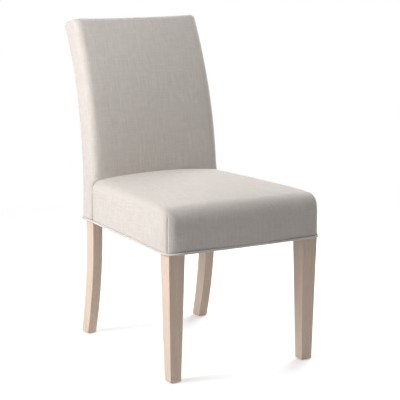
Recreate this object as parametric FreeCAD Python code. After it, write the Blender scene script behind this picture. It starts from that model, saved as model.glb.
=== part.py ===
import FreeCAD, Part
import math
import os

# Upholstered parsons dining chair with a sabre-curved slab back on four wooden legs.
# Millimetres. +Z is up, the front of the seat faces -Y, and +X is the sitter's left.
# The origin lies on the floor, midway across the chair and midway between its front and its back.

V = FreeCAD.Vector

# Overall shape of the upholstery, measured on the outside of the cloth
OVERALL_HEIGHT = 968.0       # floor to the top edge of the back
ORIGIN_TO_FRONT = 361.0      # origin to the flat front of the seat
BOX_DEPTH = 596.5            # front of the seat to the outside back, low down
FRONT_WIDTH = 507.0          # seat, across the front
CREASE_WIDTH = 455.0         # seat, across the crease where it meets the back
BACK_WIDTH = 446.0           # back slab, at the bottom
BACK_TOP_WIDTH = 424.5       # back slab, at the top
SEAT_BOX = 143.0             # highest line of the seat down to the underside of the welt
CORNER_RADIUS = 34.0         # front corners of the seat, seen from above
CREASE_BEND = 150.0          # the welt's gentle bend where the seat's side meets the back's

# Seat crown and front roll
SEAT_CREST = 507.5           # highest line of the seat
CREST_PLACE = 0.55           # where that line lies, as a share of the way from the front to the crease
FRONT_FALL = 18.0            # how far the crest would fall by the front face
REAR_FALL = 1.5              # how far it falls by the crease
FRONT_ROLL_RADIUS = 55.0     # roll from the top over to the front face
FRONT_ROLL_SWEEP = 84.0      # degrees of that roll
CROWN_DROP = 11.0            # fall of the crown from the middle to the side
FACE_DROP = 3.0              # the same at the front face
FRONT_EDGE_RADIUS = 16.0     # side edge of the seat at the front
CREASE_EDGE_RADIUS = 30.0    # side edge of the seat at the crease

# Back slab
BACK_THICKNESS = 82.0
SWEEP_RADIUS = 1000.0        # outside back, where it leans away from the seat
SWEEP_RISE = 85.5            # underside of the welt to the height where that lean starts
TOP_SLOPE = 14.5             # degrees that the top falls towards the rear
TOP_FRONT_RADIUS = 14.0
TOP_REAR_RADIUS = 8.0
TOP_SIDE_RADIUS = 5.0
BACK_FRONT_EDGE = 18.0       # radius of the upright front edges above the seat
BACK_REAR_EDGE = 8.0         # radius of the upright rear edges
BACK_LOW_EDGE = 7.0          # radius of the front edges down behind the seat
BACK_CROWN = 4.0             # fall of the front face from its middle to its sides
LOW_CROWN = 0.5              # the same down behind the seat

# Cloth, wadding and the room between layers
CLOTH = 1.5
WADDING = 3.5
LAYER_GAP = 0.3
SEAM_GAP = 0.4               # open line where two covers are sewn to each other
PANEL_MARGIN = 9.0           # outside back panel, in from the slab's sides
WELT_RADIUS = 3.0
WELT_PROUD = 2.5             # how far the welt stands out past the cloth
WELT_TAPE_WIDTH = 16.0
WELT_TAPE = 0.8
DUST_COVER = 0.6
DUST_COVER_MARGIN = 14.0     # dust cover, in from the outside of the cloth
DUST_COVER_RISE = 1.0        # underside of the welt to the top of the dust cover

# Front legs, square and tapered below the seat
FRONT_LEG_INSET = 35.8       # seat's side at the front face to the middle of the leg
FRONT_LEG_SETBACK = 37.5     # front cloth to the middle of the leg
FRONT_LEG_TOP = 50.2
FRONT_LEG_FOOT = 34.0
ARRIS = 1.5                  # bevel of the legs' long edges

# Rear legs, each sawn in one piece with its back post
REAR_LEG_INSET = 24.0        # slab's side to the middle of the leg
REAR_LEG_SETBACK = 38.3      # outside back cloth to the middle of the leg at the seat
REAR_LEG_WIDTH = 32.0
REAR_LEG_FOOT_WIDTH = 29.0
REAR_LEG_DEPTH = 46.0
REAR_LEG_FOOT_DEPTH = 41.5
REAR_LEG_KICK = 48.5         # how far the foot stands behind the top of the leg
KICK_DROP = 30.5             # underside of the welt to where the leg starts to curve back
POST_DEPTH = 29.0            # back post, above its taper
POST_TAPER = 130.0           # height over which the leg's depth falls to the post's
TAPER_ABOVE_RAIL = 10.0      # where that starts
FRAME_TOP_COVER = 14.0       # top cloth to the top of the wooden frame

# Seat frame
RAIL_HEIGHT = 68.0
RAIL_THICKNESS = 22.0
BLOCK_REACH = 55.0           # corner block, along each rail from the leg
BLOCK_HEIGHT = 32.0
BLOCK_BELOW_RAIL_TOP = 12.0
TENON = 9.0                  # thickness of the rails' tenons
TENON_SHOULDER = 8.0         # step above and below a tenon
TENON_IN_FRONT_LEG = 26.0
TENON_IN_REAR_LEG = 17.0
GLUE_GAP = 0.25
SCREW_RADIUS = 2.2
SCREW_LENGTH = 34.0
SCREW_HEAD_RADIUS = 4.0
SCREW_HEAD = 2.6
SCREW_ROOM = 0.2
SCREW_GRIP = 18.0            # corner block wood between the screw's head and the rail

# Back frame
BACK_RAIL_HEIGHT = 52.0
BACK_RAIL_THICKNESS = 22.0
BOTTOM_RAIL_RISE = 5.7       # top of the seat's rails to the bottom rail's underside
MIDDLE_RAIL_PLACE = 0.42     # middle of the middle rail, as a share of the sweep

# Webbing and padding
WEB_WIDTH = 50.0
WEB = 1.0
WEB_CROSSING_GAP = 0.3
WEB_PITCH = 72.0             # lengthwise webs, middle to middle
WEBS_LENGTHWISE = 5
WEBS_CROSSWISE = 5
WEB_END_MARGIN = 4.0         # webbing's end, in from the rail's outer face
BACK_WEBS = 4
PLATFORM_CLOTH = 0.8
FRONT_PAD_GAP = 0.4
PLATFORM_MARGIN = 9.0        # platform cloth, in from the outside of the upholstery
OUTSIDE_BOARD = 2.6
BOARD_GAP = 0.3
FOAM_WALL = 0.5              # room between foam and the wood or webbing that it lies on

# Floor glides
GLIDE_HEIGHT = 2.5
GLIDE_RADIUS = 11.0
GLIDE_EDGE = 0.8
GLIDE_NAIL = 2.4             # side of its square nail
GLIDE_NAIL_LENGTH = 14.0
GLIDE_NAIL_ROOM = 0.2

# Steps of the soft forms
EDGE_FLAT_COUNT = 5
HIDDEN_FLAT_COUNT = 2
WELT_FLATS = 4               # flats of the welt's outer half
ROLL_STATIONS = 5
SEAT_STATIONS = 5
SEAT_TUCK = 20.0             # how far the seat's form runs on past the crease
SEAT_STEP_GROWTH = 1.5       # each step along the seat against the one in front of it
SWEEP_STATIONS = 8
TOP_STATIONS = 3
LEAST_RADIUS = 1.0           # of an edge that lies under others

# Places that follow from the sizes above
FRONT_Y = -ORIGIN_TO_FRONT
REAR_Y = FRONT_Y + BOX_DEPTH
CREASE_Y = REAR_Y - BACK_THICKNESS
BOX_BOTTOM = SEAT_CREST - SEAT_BOX
SWEEP_START = BOX_BOTTOM + SWEEP_RISE
KICK_START = BOX_BOTTOM - KICK_DROP
LEG_SHOULDER = BOX_BOTTOM - LAYER_GAP
FRONT_LEG_X = FRONT_WIDTH / 2 - FRONT_LEG_INSET
FRONT_LEG_Y = FRONT_Y + FRONT_LEG_SETBACK
REAR_LEG_X = BACK_WIDTH / 2 - REAR_LEG_INSET
REAR_LEG_Y = REAR_Y - REAR_LEG_SETBACK
POST_REAR_COVER = REAR_LEG_SETBACK - REAR_LEG_DEPTH / 2
POST_SIDE_COVER = REAR_LEG_INSET - REAR_LEG_WIDTH / 2
FRAME_INSET = CLOTH + WADDING + 2 * LAYER_GAP
WELT_TOP = BOX_BOTTOM + 2 * WELT_RADIUS
DUST_COVER_TOP = BOX_BOTTOM + DUST_COVER_RISE
RAIL_BOTTOM = DUST_COVER_TOP + WELT_TAPE
RAIL_TOP = RAIL_BOTTOM + RAIL_HEIGHT
BOTTOM_RAIL_UNDERSIDE = RAIL_TOP + BOTTOM_RAIL_RISE
WEB_PLANE = RAIL_TOP + WEB / 2
WEB_RISE = (WEB + WEB_CROSSING_GAP) / 2
PLATFORM_BOTTOM = WEB_PLANE + WEB_RISE + WEB / 2 + LAYER_GAP
SEAT_FOAM_BOTTOM = PLATFORM_BOTTOM + PLATFORM_CLOTH + LAYER_GAP
SWEEP_CENTRE_Y = REAR_Y + SWEEP_RADIUS
POST_FRONT = POST_REAR_COVER + POST_DEPTH
POST_TOP_INNER = BACK_TOP_WIDTH / 2 - POST_SIDE_COVER - REAR_LEG_WIDTH
BACK_RAIL_COVER = POST_REAR_COVER + BACK_RAIL_THICKNESS / 2
SLOPE = math.radians(TOP_SLOPE)
FRONT_LEG_INNER = FRONT_LEG_X - FRONT_LEG_TOP / 2
REAR_LEG_INNER = REAR_LEG_X - REAR_LEG_WIDTH / 2
SIDE_RAIL_FRONT = FRONT_LEG_Y + FRONT_LEG_TOP / 2
SIDE_RAIL_REAR = REAR_LEG_Y - REAR_LEG_DEPTH / 2
FRONT_RAIL_Y = FRONT_LEG_Y - FRONT_LEG_TOP / 2 + RAIL_THICKNESS / 2
FRONT_RAIL_REAR = FRONT_RAIL_Y + RAIL_THICKNESS / 2
REAR_RAIL_FRONT = REAR_LEG_Y - RAIL_THICKNESS / 2
FAR = 2000.0                 # reach of a cutting block past the chair


# Small helpers

def save(name, shape):
    """Write one node's solids to its own file."""
    shape.exportStep("parts/%s.step" % name)


def mirrored(shape):
    """The same piece on the chair's other side."""
    return shape.mirror(V(0, 0, 0), V(1, 0, 0))


def prism(points, along):
    """Straight-sided solid on a closed polygon, carried along a vector."""
    return Part.Face(Part.makePolygon(points + [points[0]])).extrude(along)


def plan_prism(corners, bottom, top):
    """Upright solid on a plan outline of straight lines."""
    return prism([V(x, y, bottom) for x, y in corners], V(0, 0, top - bottom))


def arc(first, middle, last):
    """Edge of a circular arc through three points."""
    return Part.Arc(first, middle, last).toShape()


def line(first, last):
    """Straight edge between two points."""
    return Part.LineSegment(first, last).toShape()


def straight(place, points):
    """Straight edges from point to point, each point given as (across, up)."""
    return [line(place(*a), place(*b)) for a, b in zip(points, points[1:])]


def rounded_outline(corners, radii, z):
    """Closed plan wire whose corners are rounded, each by its own radius."""
    count = len(corners)
    points = [V(x, y, z) for x, y in corners]
    starts, middles, ends = [], [], []
    for i, corner in enumerate(points):
        back = (points[i - 1] - corner).normalize()
        ahead = (points[(i + 1) % count] - corner).normalize()
        half = back.getAngle(ahead) / 2
        bisector = (back + ahead).normalize()
        reach = radii[i] / math.tan(half)
        starts.append(corner + back * reach)
        middles.append(corner + bisector * (radii[i] / math.sin(half) - radii[i]))
        ends.append(corner + ahead * reach)
    edges = []
    for i in range(count):
        edges.append(arc(starts[i], middles[i], ends[i]))
        edges.append(line(ends[i], starts[(i + 1) % count]))
    return Part.Wire(edges)


def crowned_section(place, half_width, crest, drop, edge_radius, base, base_radius, inset):
    """Closed section: flat base, straight sides, rounded edges and one crown arc over the top.

    The sizes are those of the outer surface. Every line is drawn in by inset, each edge about its
    own centre, so sections of different insets nest. The edges are rounded in short flats, fewer
    of them below the outermost surface. place turns (across, up) into a point.
    """
    flats = EDGE_FLAT_COUNT if inset < CLOTH else HIDDEN_FLAT_COUNT
    edge_radius = max(edge_radius, inset + LEAST_RADIUS)
    crown_radius = (half_width ** 2 + drop ** 2) / (2 * drop)
    crown_centre = crest - crown_radius
    edge_u = half_width - edge_radius
    edge_v = crown_centre + math.sqrt((crown_radius - edge_radius) ** 2 - edge_u ** 2)
    lean = math.atan2(edge_v - crown_centre, edge_u)
    side = half_width - inset

    def edge(u, v, radius, first, last):
        turns = [first + (last - first) * i / flats for i in range(flats + 1)]
        return [(u + radius * math.cos(turn), v + radius * math.sin(turn)) for turn in turns]

    right = [(side, base)]
    if base_radius:
        heel = max(base_radius - inset, LEAST_RADIUS)
        right = edge(side - heel, base + inset + heel, heel, -math.pi / 2, 0)
    right += edge(edge_u, edge_v, edge_radius - inset, 0, lean)
    left = [(-u, v) for u, v in reversed(right)]
    crown = arc(place(*right[-1]), place(0, crest - inset), place(*left[0]))
    base_line = line(place(*left[-1]), place(*right[0]))
    return Part.Wire([base_line] + straight(place, right) + [crown] + straight(place, left))


def graded(steps, growth):
    """Shares of a length, from 0 to 1, whose steps each grow by the same factor."""
    sizes = [growth ** i for i in range(steps)]
    return [sum(sizes[:i]) / sum(sizes) for i in range(steps + 1)]


# Seat form

def seat_half_width(y):
    """Half the seat's width at a depth, along its straight slanting side."""
    share = (y - FRONT_Y) / (CREASE_Y - FRONT_Y)
    return FRONT_WIDTH / 2 + share * (CREASE_WIDTH - FRONT_WIDTH) / 2


def seat_crest(y):
    """Height of the seat's middle line, which falls away from its crest both ways."""
    share = (y - FRONT_Y) / (CREASE_Y - FRONT_Y)
    if share < CREST_PLACE:
        return SEAT_CREST - FRONT_FALL * ((CREST_PLACE - share) / CREST_PLACE) ** 2.5
    return SEAT_CREST - REAR_FALL * ((share - CREST_PLACE) / (1 - CREST_PLACE)) ** 2


def seat_section(y, crest, inset):
    """Upright section across the seat at one depth."""
    share = (y - FRONT_Y) / (CREASE_Y - FRONT_Y)
    half_width = seat_half_width(y)
    into_corner = CORNER_RADIUS - (y - FRONT_Y)
    if into_corner > 0:
        reach = math.sqrt(max((CORNER_RADIUS - inset) ** 2 - into_corner ** 2, 0))
        half_width += reach + inset - CORNER_RADIUS
    drop = FACE_DROP + (CROWN_DROP - FACE_DROP) * math.sin(math.pi * min(share, 0.5))
    edge_radius = FRONT_EDGE_RADIUS + share * (CREASE_EDGE_RADIUS - FRONT_EDGE_RADIUS)
    return crowned_section(
        lambda u, v: V(u, y, v), half_width, crest, drop, edge_radius, BOX_BOTTOM - RAIL_HEIGHT, 0, inset
    )


def seat_form(inset, bottom, rear):
    """The seat's outer form drawn in by inset, cut flat at the bottom and at the rear."""
    sweep = math.radians(FRONT_ROLL_SWEEP)
    roll_end = FRONT_Y + FRONT_ROLL_RADIUS * (1 - math.cos(sweep))
    shoulder = seat_crest(roll_end) - FRONT_ROLL_RADIUS * math.sin(sweep)
    radius = FRONT_ROLL_RADIUS - inset
    sections = []
    for i in range(ROLL_STATIONS + 1):
        angle = sweep * i / ROLL_STATIONS
        y = FRONT_Y + FRONT_ROLL_RADIUS - radius * math.cos(angle)
        sections.append(seat_section(y, shoulder + radius * math.sin(angle) + inset, inset))
    for share in graded(SEAT_STATIONS, SEAT_STEP_GROWTH)[1:]:
        y = roll_end + share * (CREASE_Y + SEAT_TUCK - roll_end)
        sections.append(seat_section(y, seat_crest(y), inset))
    form = Part.makeLoft(sections, True, True)
    keep = Part.makeBox(FAR, rear + FAR, FAR, V(-FAR / 2, -FAR, bottom))
    return form.common(keep)


# Back form

def turned(centre, radius, angle):
    """(y, z) at a radius about a centre; the angle rises from straight ahead to straight up."""
    return centre[0] - radius * math.cos(angle), centre[1] + radius * math.sin(angle)


def sweep_point(cover, angle):
    """(y, z) on the back's sweep, at a depth of cover from the outside back."""
    return turned((SWEEP_CENTRE_Y, SWEEP_START), SWEEP_RADIUS + cover, angle)


def sweep_angle(cover, z):
    """Angle at which a line of the sweep reaches a height."""
    return math.asin((z - SWEEP_START) / (SWEEP_RADIUS + cover))


def angle_under_top(cover, depth):
    """Angle at which a line of the sweep meets the top surface lowered by depth."""
    front_cover = BACK_THICKNESS - TOP_FRONT_RADIUS
    y, z = sweep_point(front_cover, sweep_angle(front_cover, OVERALL_HEIGHT - TOP_FRONT_RADIUS))
    y += (TOP_FRONT_RADIUS - depth) * math.sin(SLOPE)
    z += (TOP_FRONT_RADIUS - depth) * math.cos(SLOPE)
    level = math.cos(SLOPE) * (z - SWEEP_START) - math.sin(SLOPE) * (SWEEP_CENTRE_Y - y)
    return SLOPE + math.asin(level / (SWEEP_RADIUS + cover))


def back_half_width(z):
    """Half the slab's width at a height."""
    share = (z - BOX_BOTTOM) / (OVERALL_HEIGHT - BOX_BOTTOM)
    return (BACK_WIDTH + share * (BACK_TOP_WIDTH - BACK_WIDTH)) / 2


def back_section(rear, front, half_width, inset, overhang=0, edge_loss=0):
    """Section through the slab from a rear point to a front point, each (y, z).

    overhang is how far the outer surface lies past each of the two points, and edge_loss is
    taken off the front edge's radius.
    """
    length = math.hypot(front[0] - rear[0], front[1] - rear[1])
    along = ((front[0] - rear[0]) / length, (front[1] - rear[1]) / length)
    fullness = min(max((front[1] - RAIL_TOP) / (2 * RAIL_HEIGHT), 0), 1)
    edge = BACK_LOW_EDGE + fullness * (BACK_FRONT_EDGE - BACK_LOW_EDGE) - edge_loss
    crown = LOW_CROWN + fullness * (BACK_CROWN - LOW_CROWN)

    def place(u, v):
        return V(u, rear[0] + v * along[0], rear[1] + v * along[1])

    crest = length + overhang
    return crowned_section(place, half_width, crest, crown, edge, -overhang, BACK_REAR_EDGE, inset)


def back_form(inset, bottom):
    """The slab's outer form drawn in by inset, flat at the bottom."""
    front_cover = BACK_THICKNESS - TOP_FRONT_RADIUS
    front_angle = sweep_angle(front_cover, OVERALL_HEIGHT - TOP_FRONT_RADIUS)
    rear_angle = angle_under_top(TOP_REAR_RADIUS, TOP_REAR_RADIUS)
    sections = []
    for z in (bottom, max(RAIL_TOP, bottom + LAYER_GAP), SWEEP_START):
        sections.append(back_section((REAR_Y, z), (CREASE_Y, z), back_half_width(z), inset))
    for i in range(1, SWEEP_STATIONS + 1):
        share = i / SWEEP_STATIONS
        rear = sweep_point(0, share * rear_angle)
        front = sweep_point(BACK_THICKNESS, share * front_angle)
        width = back_half_width((rear[1] + front[1]) / 2)
        sections.append(back_section(rear, front, width, inset))
    front_centre = sweep_point(front_cover, front_angle)
    rear_centre = sweep_point(TOP_REAR_RADIUS, rear_angle)
    top_turn = math.pi / 2 + SLOPE
    for i in range(1, TOP_STATIONS + 1):
        share = i / TOP_STATIONS
        tuck = 1 - math.cos(share * math.pi / 2)
        front_turn = front_angle + share * (top_turn - front_angle)
        rear_turn = rear_angle + math.pi + share * (top_turn - rear_angle - math.pi)
        front = turned(front_centre, TOP_FRONT_RADIUS - inset, front_turn)
        rear = turned(rear_centre, TOP_REAR_RADIUS - inset, rear_turn)
        width = back_half_width(OVERALL_HEIGHT) - (TOP_SIDE_RADIUS - inset) * tuck
        sections.append(back_section(rear, front, width, inset, inset, TOP_SIDE_RADIUS * tuck))
    return Part.makeLoft(sections, True, True)


def side_view(edges):
    """Slab across the whole chair on a closed outline in the plane x = 0."""
    face = Part.Face(Part.Wire(edges))
    face.translate(V(-FAR / 2, 0, 0))
    return face.extrude(V(FAR, 0, 0))


def front_view(points):
    """Slab through the whole chair from front to rear on an outline of (x, z) points."""
    return prism([V(x, -FAR / 2, z) for x, z in points], V(0, FAR, 0))


def yz(y, z):
    """Point in the plane x = 0."""
    return V(0, y, z)


def sweep_arc(cover, first, last):
    """Arc of the sweep between two angles."""
    middle = (first + last) / 2
    points = [yz(*sweep_point(cover, angle)) for angle in (first, middle, last)]
    return arc(*points)


def joined(points):
    """Straight edges from point to point."""
    return straight(yz, points)


def sweep_band(rear_cover, front_cover, low, high):
    """Slab across the chair between two depths; low and high give the end angle at a depth."""
    rear_low, rear_high = low(rear_cover), high(rear_cover)
    front_low, front_high = low(front_cover), high(front_cover)
    edges = [sweep_arc(rear_cover, rear_low, rear_high)]
    edges += joined([sweep_point(rear_cover, rear_high), sweep_point(front_cover, front_high)])
    edges.append(sweep_arc(front_cover, front_high, front_low))
    edges += joined([sweep_point(front_cover, front_low), sweep_point(rear_cover, rear_low)])
    return side_view(edges)


def back_sheet(rear_cover, front_cover, bottom, top_depth):
    """Sheet that follows the slab's outside face from a height up to a depth below its top."""
    band = sweep_band(rear_cover, front_cover, lambda c: 0, lambda c: angle_under_top(c, top_depth))
    straight = Part.makeBox(FAR, front_cover - rear_cover, SWEEP_START - bottom)
    straight.translate(V(-FAR / 2, REAR_Y - front_cover, bottom))
    return band.fuse(straight).removeSplitter()


def slab_between(side_cover, bottom=0.0):
    """Everything within side_cover of the slab's slanting sides."""
    low = back_half_width(bottom) - side_cover
    high = back_half_width(OVERALL_HEIGHT) - side_cover
    return front_view([
        (-low, bottom), (low, bottom), (high, OVERALL_HEIGHT), (-high, OVERALL_HEIGHT)
    ])


# Wooden legs

def plan_corners(inset):
    """Corners of the upholstery's plan, drawn in by inset."""
    front = (seat_half_width(FRONT_Y + inset) - inset, FRONT_Y + inset)
    crease = (CREASE_WIDTH / 2 - inset, CREASE_Y)
    rear = (BACK_WIDTH / 2 - inset, REAR_Y - inset)
    right = [front, crease, rear]
    return right + [(-x, y) for x, y in reversed(right)]


def plan_outline(inset, z):
    """Rounded plan outline of the upholstery, drawn in by inset."""
    rear = max(BACK_REAR_EDGE - inset, 1)
    side = [max(CORNER_RADIUS - inset, 1), CREASE_BEND, rear]
    return rounded_outline(plan_corners(inset), side + side[::-1], z)


def envelope(inset, bottom, top):
    """Upright solid on the upholstery's plan."""
    return Part.Face(plan_outline(inset, bottom)).extrude(V(0, 0, top - bottom))


def leg_square(size, z):
    """Outline of a front leg at a height, its corners bevelled."""
    half = size / 2
    flat = half - ARRIS
    corners = [(half, -flat), (half, flat), (flat, half), (-flat, half),
               (-half, flat), (-half, -flat), (-flat, -half), (flat, -half), (half, -flat)]
    return Part.makePolygon([V(FRONT_LEG_X + x, FRONT_LEG_Y + y, z) for x, y in corners])


def front_leg():
    """Front leg of the sitter's left side: a square block inside the seat, tapered below it."""
    foot = leg_square(FRONT_LEG_FOOT, GLIDE_HEIGHT)
    taper = Part.makeLoft([foot, leg_square(FRONT_LEG_TOP, LEG_SHOULDER)], True, True)
    half = FRONT_LEG_TOP / 2
    block = Part.makeBox(
        FRONT_LEG_TOP, FRONT_LEG_TOP, RAIL_TOP - LEG_SHOULDER,
        V(FRONT_LEG_X - half, FRONT_LEG_Y - half, LEG_SHOULDER)
    )
    block = block.common(envelope(FRAME_INSET, LEG_SHOULDER, RAIL_TOP))
    return taper.fuse(block)


def kick_edge(top_y, foot_y):
    """Arc of a rear leg's edge from the foot up to where the leg stands upright."""
    drop = KICK_START - GLIDE_HEIGHT
    kick = foot_y - top_y
    radius = (drop ** 2 + kick ** 2) / (2 * kick)
    middle = top_y + radius - math.sqrt(radius ** 2 - (drop / 2) ** 2)
    points = [(foot_y, GLIDE_HEIGHT), (middle, KICK_START - drop / 2), (top_y, KICK_START)]
    return arc(*[yz(*point) for point in points])


def rear_leg():
    """Rear leg of the sitter's left side with its back post, sawn as one piece."""
    front_y, rear_y = REAR_LEG_Y - REAR_LEG_DEPTH / 2, REAR_LEG_Y + REAR_LEG_DEPTH / 2
    foot_y = REAR_LEG_Y + REAR_LEG_KICK
    foot_front, foot_rear = foot_y - REAR_LEG_FOOT_DEPTH / 2, foot_y + REAR_LEG_FOOT_DEPTH / 2
    edges = [kick_edge(front_y, foot_front)]
    edges += joined([(front_y, KICK_START), (front_y, LEG_SHOULDER), (rear_y, LEG_SHOULDER),
                     (rear_y, KICK_START)])
    edges.append(kick_edge(rear_y, foot_rear))
    edges += joined([(foot_rear, GLIDE_HEIGHT), (foot_front, GLIDE_HEIGHT)])
    half_foot, half = REAR_LEG_FOOT_WIDTH / 2, REAR_LEG_WIDTH / 2
    leg = side_view(edges).common(front_view([
        (REAR_LEG_X - half_foot, GLIDE_HEIGHT), (REAR_LEG_X + half_foot, GLIDE_HEIGHT),
        (REAR_LEG_X + half, LEG_SHOULDER), (REAR_LEG_X - half, LEG_SHOULDER)
    ]))
    long_edges = [edge for edge in leg.Edges if edge.BoundBox.ZLength > ARRIS]
    leg = leg.makeChamfer(ARRIS / math.sqrt(2), long_edges)
    taper_end = sweep_angle(POST_FRONT, RAIL_TOP + TAPER_ABOVE_RAIL + POST_TAPER)
    front_top = angle_under_top(POST_FRONT, FRAME_TOP_COVER)
    rear_top = angle_under_top(POST_REAR_COVER, FRAME_TOP_COVER)
    edges = joined([(rear_y, SWEEP_START), (rear_y, LEG_SHOULDER), (front_y, LEG_SHOULDER),
                    (front_y, RAIL_TOP + TAPER_ABOVE_RAIL), sweep_point(POST_FRONT, taper_end)])
    edges.append(sweep_arc(POST_FRONT, taper_end, front_top))
    edges += joined([sweep_point(POST_FRONT, front_top), sweep_point(POST_REAR_COVER, rear_top)])
    edges.append(sweep_arc(POST_REAR_COVER, rear_top, 0))
    post = side_view(edges).common(front_view([
        (REAR_LEG_X - half, LEG_SHOULDER), (REAR_LEG_X + half, LEG_SHOULDER),
        (REAR_LEG_X + half, RAIL_TOP), (POST_TOP_INNER + REAR_LEG_WIDTH, OVERALL_HEIGHT),
        (POST_TOP_INNER, OVERALL_HEIGHT), (REAR_LEG_X - half, RAIL_TOP)
    ]))
    return leg.fuse(post).removeSplitter()


# Rails and corner blocks

def side_rail_outer(y):
    """Distance from the chair's middle to a side rail's outer face."""
    front = seat_half_width(SIDE_RAIL_FRONT) - FRAME_INSET - FOAM_WALL
    rear = REAR_LEG_X + REAR_LEG_WIDTH / 2
    share = (y - SIDE_RAIL_FRONT) / (SIDE_RAIL_REAR - SIDE_RAIL_FRONT)
    return front + share * (rear - front)


def side_rail_inner(y):
    """Distance from the chair's middle to a side rail's inner face."""
    return side_rail_outer(y) - RAIL_THICKNESS


def side_bar(front_y, rear_y, thickness, shoulder):
    """Slanting bar about a side rail's middle line."""
    margin = (RAIL_THICKNESS - thickness) / 2
    corners = [(side_rail_outer(front_y) - margin, front_y), (side_rail_outer(rear_y) - margin, rear_y),
               (side_rail_inner(rear_y) + margin, rear_y), (side_rail_inner(front_y) + margin, front_y)]
    return plan_prism(corners, RAIL_BOTTOM + shoulder, RAIL_TOP - shoulder)


def side_tenons(gap):
    """Both tenons of a side rail with the bar between them, grown by gap."""
    return side_bar(
        SIDE_RAIL_FRONT - TENON_IN_FRONT_LEG - gap, SIDE_RAIL_REAR + TENON_IN_REAR_LEG + gap,
        TENON + 2 * gap, TENON_SHOULDER - gap
    )


def cross_bar(half_length, middle_y, thickness, shoulder):
    """Straight bar across the chair between two legs."""
    return Part.makeBox(
        2 * half_length, thickness, RAIL_HEIGHT - 2 * shoulder,
        V(-half_length, middle_y - thickness / 2, RAIL_BOTTOM + shoulder)
    )


def front_tenons(gap):
    """Both tenons of the front rail with the bar between them, grown by gap."""
    reach = FRONT_LEG_INNER + TENON_IN_FRONT_LEG + gap
    return cross_bar(reach, FRONT_RAIL_Y, TENON + 2 * gap, TENON_SHOULDER - gap)


def rear_tenons(gap):
    """Both tenons of the rear rail with the bar between them, grown by gap."""
    reach = REAR_LEG_INNER + TENON_IN_REAR_LEG + gap
    return cross_bar(reach, REAR_LEG_Y, TENON + 2 * gap, TENON_SHOULDER - gap)


def between_posts(slab, reach=0.0):
    """The part of a slab between the two back posts, and reach into each of them."""
    low = REAR_LEG_INNER + reach
    high = POST_TOP_INNER + reach
    return slab.common(front_view([
        (-low, RAIL_TOP), (low, RAIL_TOP), (high, OVERALL_HEIGHT), (-high, OVERALL_HEIGHT)
    ]))


def top_rail_middle():
    """Angle of the middle of the top rail."""
    top = angle_under_top(BACK_RAIL_COVER, FRAME_TOP_COVER)
    return top - BACK_RAIL_HEIGHT / 2 / (SWEEP_RADIUS + BACK_RAIL_COVER)


def back_bars(thickness, shoulder):
    """Slabs about the middle lines of the bottom, middle and top back rails."""
    half = BACK_RAIL_HEIGHT / 2 - shoulder
    bottom = Part.makeBox(FAR, thickness, 2 * half)
    middle_z = BOTTOM_RAIL_UNDERSIDE + BACK_RAIL_HEIGHT / 2
    bottom.translate(V(-FAR / 2, REAR_Y - BACK_RAIL_COVER - thickness / 2, middle_z - half))
    rear, front = BACK_RAIL_COVER - thickness / 2, BACK_RAIL_COVER + thickness / 2
    turn = half / (SWEEP_RADIUS + BACK_RAIL_COVER)
    bars = [bottom]
    for angle in (MIDDLE_RAIL_PLACE * top_rail_middle(), top_rail_middle()):
        bars.append(sweep_band(rear, front, lambda c: angle - turn, lambda c: angle + turn))
    return bars


def back_tenons(gap):
    """Tenons of the three back rails with the bars between them, grown by gap."""
    bars = back_bars(TENON + 2 * gap, TENON_SHOULDER - gap)
    return [between_posts(bar, TENON_IN_REAR_LEG + gap) for bar in bars]


def back_rails():
    """Bottom, middle and top back rails; the top one is planed to the slope of the slab's top."""
    rails = [between_posts(bar) for bar in back_bars(BACK_RAIL_THICKNESS, 0)]
    top = sweep_band(
        POST_REAR_COVER, POST_REAR_COVER + BACK_RAIL_THICKNESS,
        lambda c: top_rail_middle(), lambda c: angle_under_top(c, FRAME_TOP_COVER)
    )
    below = sweep_band(
        POST_REAR_COVER, POST_REAR_COVER + BACK_RAIL_THICKNESS,
        lambda c: 0, lambda c: top_rail_middle()
    )
    rails[2] = rails[2].common(below).fuse(between_posts(top)).removeSplitter()
    return [rail.fuse(tenon) for rail, tenon in zip(rails, back_tenons(0))]


def corner_block(corners):
    """Glued block in a corner of the seat frame."""
    top = RAIL_TOP - BLOCK_BELOW_RAIL_TOP
    return plan_prism(corners, top - BLOCK_HEIGHT, top)


def front_block_corners():
    """Plan of a front corner block, notched round the leg."""
    reach_y = SIDE_RAIL_FRONT + BLOCK_REACH
    return [
        (FRONT_LEG_INNER, FRONT_RAIL_REAR), (FRONT_LEG_INNER - BLOCK_REACH, FRONT_RAIL_REAR),
        (side_rail_inner(reach_y), reach_y), (side_rail_inner(SIDE_RAIL_FRONT), SIDE_RAIL_FRONT),
        (FRONT_LEG_INNER, SIDE_RAIL_FRONT)
    ]


def rear_block_corners():
    """Plan of a rear corner block, notched round the leg."""
    reach_y = SIDE_RAIL_REAR - BLOCK_REACH
    return [
        (REAR_LEG_INNER, REAR_RAIL_FRONT), (REAR_LEG_INNER - BLOCK_REACH, REAR_RAIL_FRONT),
        (side_rail_inner(reach_y), reach_y), (side_rail_inner(SIDE_RAIL_REAR), SIDE_RAIL_REAR),
        (REAR_LEG_INNER, SIDE_RAIL_REAR)
    ]


# Corner block screws

def bar(point, direction, radius, behind, ahead):
    """Eight-sided bar along a direction, from behind a point to ahead of it."""
    unit = V(direction)
    unit.normalize()
    aside = V(0, 0, 1).cross(unit)
    start = point - unit * behind
    corners = []
    for i in range(8):
        turn = (i + 0.5) * math.pi / 4
        corners.append(start + aside * (radius * math.cos(turn)) + V(0, 0, radius * math.sin(turn)))
    return prism(corners, unit * (behind + ahead))


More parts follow.
